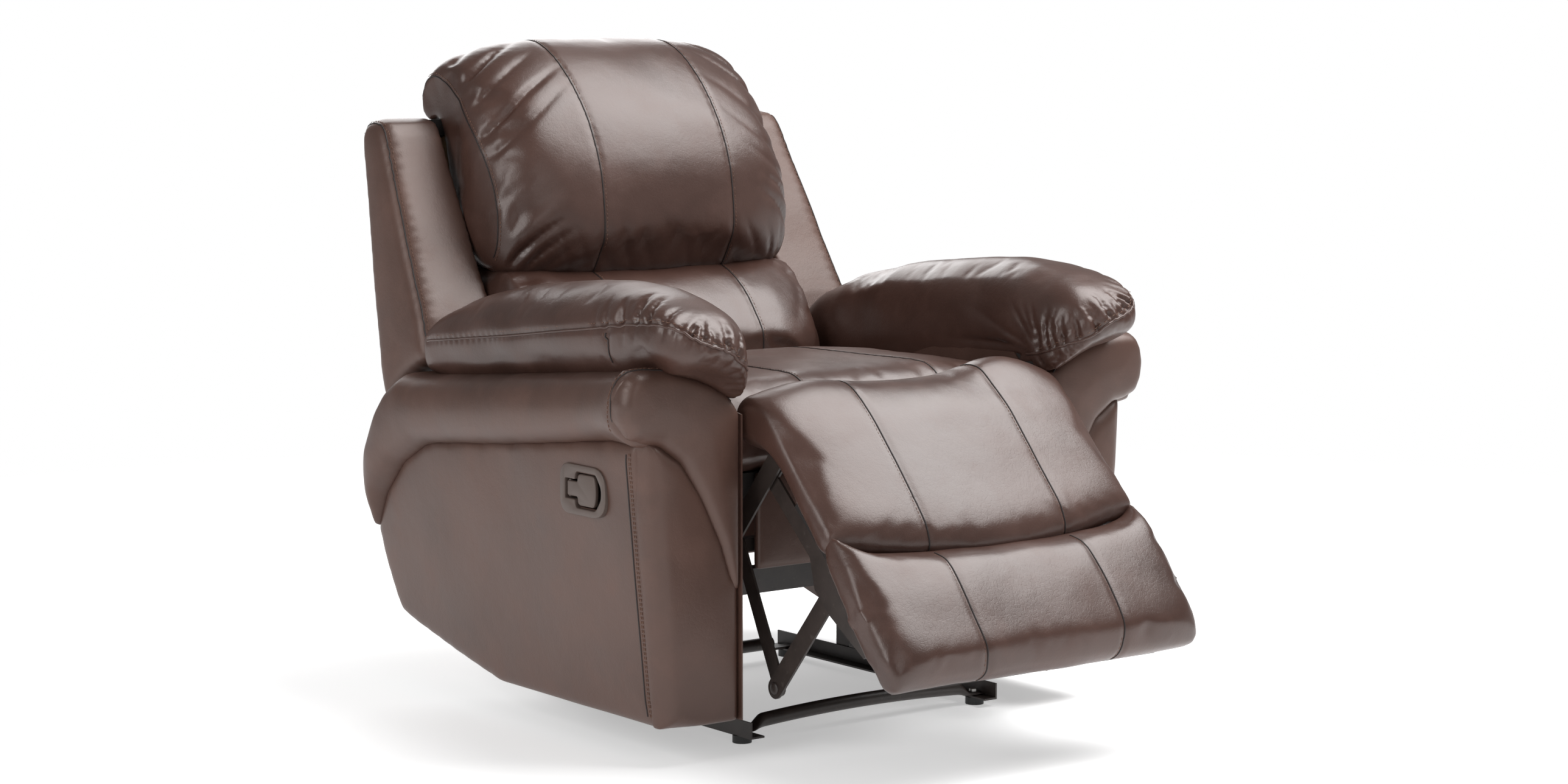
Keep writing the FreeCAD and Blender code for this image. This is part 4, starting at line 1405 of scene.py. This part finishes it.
class CHAIR_OT_release_handle(bpy.types.Operator):
    """Makes the bezel and the paddle of the release handle"""

    bl_idname = "chair.release_handle"
    bl_label = "Release handle"

    def execute(self, context):
        bezel_loop, pocket_loop, paddle_loop = handle_loops()
        low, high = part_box("handle_bezel")
        bezel = slab("handle_bezel_moulding", bezel_loop, low.x + 0.0125, low.x - 0.0015)
        tray = slab("tray", bezel_loop, low.x + 0.026, low.x + 0.0115)
        middle = Vector((0, (low.y + high.y) / 2, (low.z + high.z) / 2))
        for vertex in tray.data.vertices:
            away = vertex.co - middle
            vertex.co = Vector((vertex.co.x, middle.y + away.y * 0.93, middle.z + away.z * 0.88))
        for piece, depth in ((bezel, 0.03), (tray, 0.021)):
            cut_out(piece, slab("cutter", pocket_loop, low.x + depth, low.x - 0.01))
        soften_edges(bezel, 0.0016)
        bezel = join([bezel, tray], "handle_bezel_moulding")
        shade(bezel, 35)
        hand_over(bezel, "base", "plastic", "handle_bezel")
        paddle_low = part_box("release_paddle")[0]
        paddle = slab(
            "release_paddle_moulding", paddle_loop, paddle_low.x + 0.006, paddle_low.x - 0.001,
        )
        soften_edges(paddle, 0.0020)
        deselect()
        bpy.ops.mesh.primitive_cylinder_add(vertices=20, radius=0.003, depth=0.026,
                                            location=joint_place("paddle_pull"))
        rod = bpy.context.object
        settle(rod)
        paddle = join([paddle, rod], "release_paddle_moulding")
        shade(paddle, 35)
        hand_over(paddle, "paddle", "plastic", "release_paddle")
        return {"FINISHED"}


# ---- steel -----------------------------------------------------------------
FOOT_RIVET_X = 0.2445
BACK_RIVET_X = 0.2715
RIVET_FLATNESS = 0.38


class CHAIR_OT_steel(bpy.types.Operator):
    """Makes the bowed front tube, the rivet heads and the bolt heads"""

    bl_idname = "chair.steel"
    bl_label = "Steel work"

    def execute(self, context):
        self.front_tube()
        crank = joint_place("drive_turn")
        elbow = joint_place("elbow_turn")
        foot = KNEE + elbow - crank
        plate_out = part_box("side_plate_left")[1].x + 0.001
        lift_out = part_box("lift_link_left")[1].x + 0.0005
        self.rivets("footrest", [(plate_out, KNEE, 0.011), (FOOT_RIVET_X, foot, 0.010)])
        self.rivets("drive", [(plate_out, crank, 0.011), (lift_out, elbow, 0.0095)])
        self.rivets("back", [(BACK_RIVET_X, RECLINE, 0.012)])
        return {"FINISHED"}

    def rivets(self, body, heads):
        """Domed rivet heads, given as (x, pivot, radius), on both sides of the chair."""
        made = []
        for x, pivot, size in heads:
            for side in (1, -1):
                deselect()
                bpy.ops.mesh.primitive_uv_sphere_add(segments=24, ring_count=12, radius=size)
                head = bpy.context.object
                head.scale = (RIVET_FLATNESS, 1, 1)
                head.location = (side * x, pivot.y, pivot.z)
                settle(head)
                made.append(head)
        piece = join(made, "rivets_" + body)
        shade(piece, 60)
        hand_over(piece, body, "steel")

    def front_tube(self):
        """A tube that rises a little in its middle, with flattened ends bolted to the rails."""
        low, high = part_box("front_cross_tube")
        half = high.x
        y = (low.y + high.y) / 2
        radius = (high.z - low.z) / 2

        def place(u, v):
            x = (2 * v - 1) * half
            share = abs(x) / half
            flat = ease((share - 0.80) / 0.11)
            tall = radius * (1 - 0.80 * flat)
            wide = radius * (1 + 0.12 * flat)
            rise = low.z + tall + 0.010 * (1 - share**2) * (1 - flat)
            angle = 2 * math.pi * u
            return Vector((x, y + wide * math.cos(angle), rise + tall * math.sin(angle)))

        tube = rolled("front_tube", 28, 120, place)
        shade(tube, 50)
        hand_over(tube, "base", "steel", "front_cross_tube")
        bolts = []
        for side in (1, -1):
            deselect()
            bpy.ops.mesh.primitive_cylinder_add(
                vertices=6, radius=0.007, depth=0.006,
                location=(side * (half - 0.013), y, low.z + 0.0075),
            )
            bolt = bpy.context.object
            settle(bolt)
            finish_with(bolt, "BEVEL", width=0.0008, segments=2)
            bolts.append(bolt)
        piece = join(bolts, "rail_bolts")
        shade(piece, 30)
        hand_over(piece, "base", "zinc")


# ---- CAD pieces that show --------------------------------------------------
class CHAIR_OT_finishes(bpy.types.Operator):
    """Makes the materials and gives each CAD piece the one of its slot"""

    bl_idname = "chair.finishes"
    bl_label = "Finishes"

    def execute(self, context):
        colors = context.scene.chair_colors
        MATERIALS.update(
            seat_leather=leather("seat leather", colors.leather, 0.34),
            side_leather=leather("side leather", colors.side, 0.42, warmth=2.0),
            steel=painted_steel("stoved paint", colors.steel),
            plastic=moulded_plastic("handle plastic", colors.plastic),
            zinc=bare_steel("zinc plate", (0.45, 0.44, 0.42), 0.38),
            wire=bare_steel("spring wire", (0.30, 0.30, 0.31), 0.34),
            wood=plywood("plywood", (0.55, 0.38, 0.22)),
            glide=moulded_plastic("glide plastic", (0.02, 0.02, 0.02), 0.5),
            thread=thread("thread", (0.17, 0.085, 0.055)),
            # painted shadow: a very dark leather colour for the line laid in each seam, where only shade falls
            seam=thread("seam shadow", shaded(colors.leather, 0.18)),
            lining=lining("black lining", (0.016, 0.013, 0.012)),
        )
        finish_of = {
            "brown_leather": "side_leather",
            "frame_wood": "wood",
            "black_steel": "steel",
            "spring_steel": "wire",
            "zinc_steel": "zinc",
            "handle_plastic": "plastic",
            "glide_plastic": "glide",
        }
        for part in frame["record"]["subparts"]:
            finish = finish_of[part["material_slot"]]
            lined = part["node"].startswith(LINED)
            dress(frame["nodes"][part["node"]], "lining" if lined else finish)
        return {"FINISHED"}


# ---- stage -----------------------------------------------------------------
LAMPS = (
    # name, place, size in metres, watts
    ("overhead", (1.6, -0.9, 3.5), 3.0, 225.0),
    ("rear", (1.3, 3.6, 2.4), 2.6, 72.0),
    ("side", (-4.0, -0.4, 2.1), 2.2, 70.0),
    ("front", (-1.6, -4.4, 2.0), 2.0, 18.0),
)
FLOOR_GLOW = 0.42
WORLD_GLOW = 0.24
FLOOR_FADE = (1.3, 3.2)     # metres from the chair's middle over which the floor turns white
EYE = Vector((-3.17, -3.86 + ARM_FRONT, 1.11))
LOOK_DOWN = 6.6
LOOK_TURN = -37.3
SENSOR = 36
LENS = SENSOR * 5388 / 2576


class CHAIR_OT_stage(bpy.types.Operator):
    """Makes the pale floor, the soft lights and the camera"""

    bl_idname = "chair.stage"
    bl_label = "Stage"

    def execute(self, context):
        scene = context.scene
        scene.view_settings.view_transform = "Standard"
        deselect()
        bpy.ops.mesh.primitive_plane_add(size=24)
        floor = name_new("floor")
        finish = Finish("pale floor")
        finish.set(Base_Color=(0.86, 0.86, 0.86, 1), Roughness=0.9)
        tree = finish.tree
        lit = self.glow(tree, "Emission", FLOOR_GLOW)
        both = tree.nodes.new("ShaderNodeAddShader")
        tree.links.new(finish.shader.outputs[0], both.inputs[0])
        tree.links.new(lit.outputs[0], both.inputs[1])
        out = tree.nodes["Material Output"]
        away = finish.node("ShaderNodeVectorMath", {"operation": "LENGTH"}, {0: finish.place()}, 1)
        far = finish.ramp(away, *FLOOR_FADE)
        white = self.glow(tree, "Emission", 1.0)
        mix = tree.nodes.new("ShaderNodeMixShader")
        tree.links.new(far.link, mix.inputs[0])
        tree.links.new(both.outputs[0], mix.inputs[1])
        tree.links.new(white.outputs[0], mix.inputs[2])
        tree.links.new(mix.outputs[0], out.inputs["Surface"])
        floor.data.materials.append(finish.material)
        self.world(scene)
        self.lamps()
        self.camera(scene)
        return {"FINISHED"}

    def glow(self, tree, kind, strength):
        """A white emission or background node."""
        made = tree.nodes.new("ShaderNode" + kind)
        made.inputs["Color"].default_value = (1, 1, 1, 1)
        made.inputs["Strength"].default_value = strength
        return made

    def world(self, scene):
        world = bpy.data.worlds.new("studio")
        scene.world = world
        world.use_nodes = True
        tree = world.node_tree
        background = tree.nodes["Background"]
        background.inputs["Color"].default_value = (1, 1, 1, 1)
        background.inputs["Strength"].default_value = WORLD_GLOW
        white = self.glow(tree, "Background", 1.0)
        seen = tree.nodes.new("ShaderNodeLightPath")
        mix = tree.nodes.new("ShaderNodeMixShader")
        tree.links.new(seen.outputs["Is Camera Ray"], mix.inputs[0])
        tree.links.new(background.outputs[0], mix.inputs[1])
        tree.links.new(white.outputs[0], mix.inputs[2])
        tree.links.new(mix.outputs[0], tree.nodes["World Output"].inputs["Surface"])

    def lamps(self):
        target = Vector((0, 0, 0.5))
        for name, place, size, power in LAMPS:
            deselect()
            bpy.ops.object.light_add(type="AREA", location=place)
            lamp = bpy.context.object
            lamp.name = name
            lamp.data.size = size
            lamp.data.energy = power
            lamp.rotation_euler = (target - Vector(place)).to_track_quat("-Z", "Y").to_euler()

    def camera(self, scene):
        deselect()
        bpy.ops.object.camera_add(location=EYE)
        camera = bpy.context.object
        camera.rotation_euler = (math.radians(90 - LOOK_DOWN), 0, math.radians(LOOK_TURN))
        camera.data.lens = LENS
        camera.data.sensor_width = SENSOR
        scene.camera = camera


# ---- panel and registration ------------------------------------------------
STEPS = (
    CHAIR_OT_finishes,
    CHAIR_OT_stage,
    CHAIR_OT_head_cushion,
    CHAIR_OT_lumbar_cushion,
    CHAIR_OT_seat_cushion,
    CHAIR_OT_calf_cushion,
    CHAIR_OT_foot_cushion,
    CHAIR_OT_arm_panels,
    CHAIR_OT_arm_fronts,
    CHAIR_OT_arm_pillows,
    CHAIR_OT_back_covers,
    CHAIR_OT_front_panel,
    CHAIR_OT_release_handle,
    CHAIR_OT_steel,
)


class CHAIR_PT_panel(bpy.types.Panel):
    """Lists the chair's pieces in the sidebar"""

    bl_idname = "CHAIR_PT_panel"
    bl_label = "Recliner armchair"
    bl_space_type = "VIEW_3D"
    bl_region_type = "UI"
    bl_category = "Chair"

    def draw(self, context):
        for group in (context.scene.chair_colors, context.scene.chair_sizes):
            for name in group.__annotations__:
                self.layout.prop(group, name)
        for step in STEPS:
            self.layout.operator(step.bl_idname)


CLASSES = (ChairColors, ChairSizes) + STEPS + (CHAIR_PT_panel,)


def register():
    for made in CLASSES:
        bpy.utils.register_class(made)
    bpy.types.Scene.chair_colors = bpy.props.PointerProperty(type=ChairColors)
    bpy.types.Scene.chair_sizes = bpy.props.PointerProperty(type=ChairSizes)


def unregister():
    del bpy.types.Scene.chair_sizes
    del bpy.types.Scene.chair_colors
    for made in reversed(CLASSES):
        bpy.utils.unregister_class(made)


def main():
    register()
    for step in STEPS:
        group, name = step.bl_idname.split(".")
        getattr(getattr(bpy.ops, group), name)()


if __name__ == "__main__":
    main()
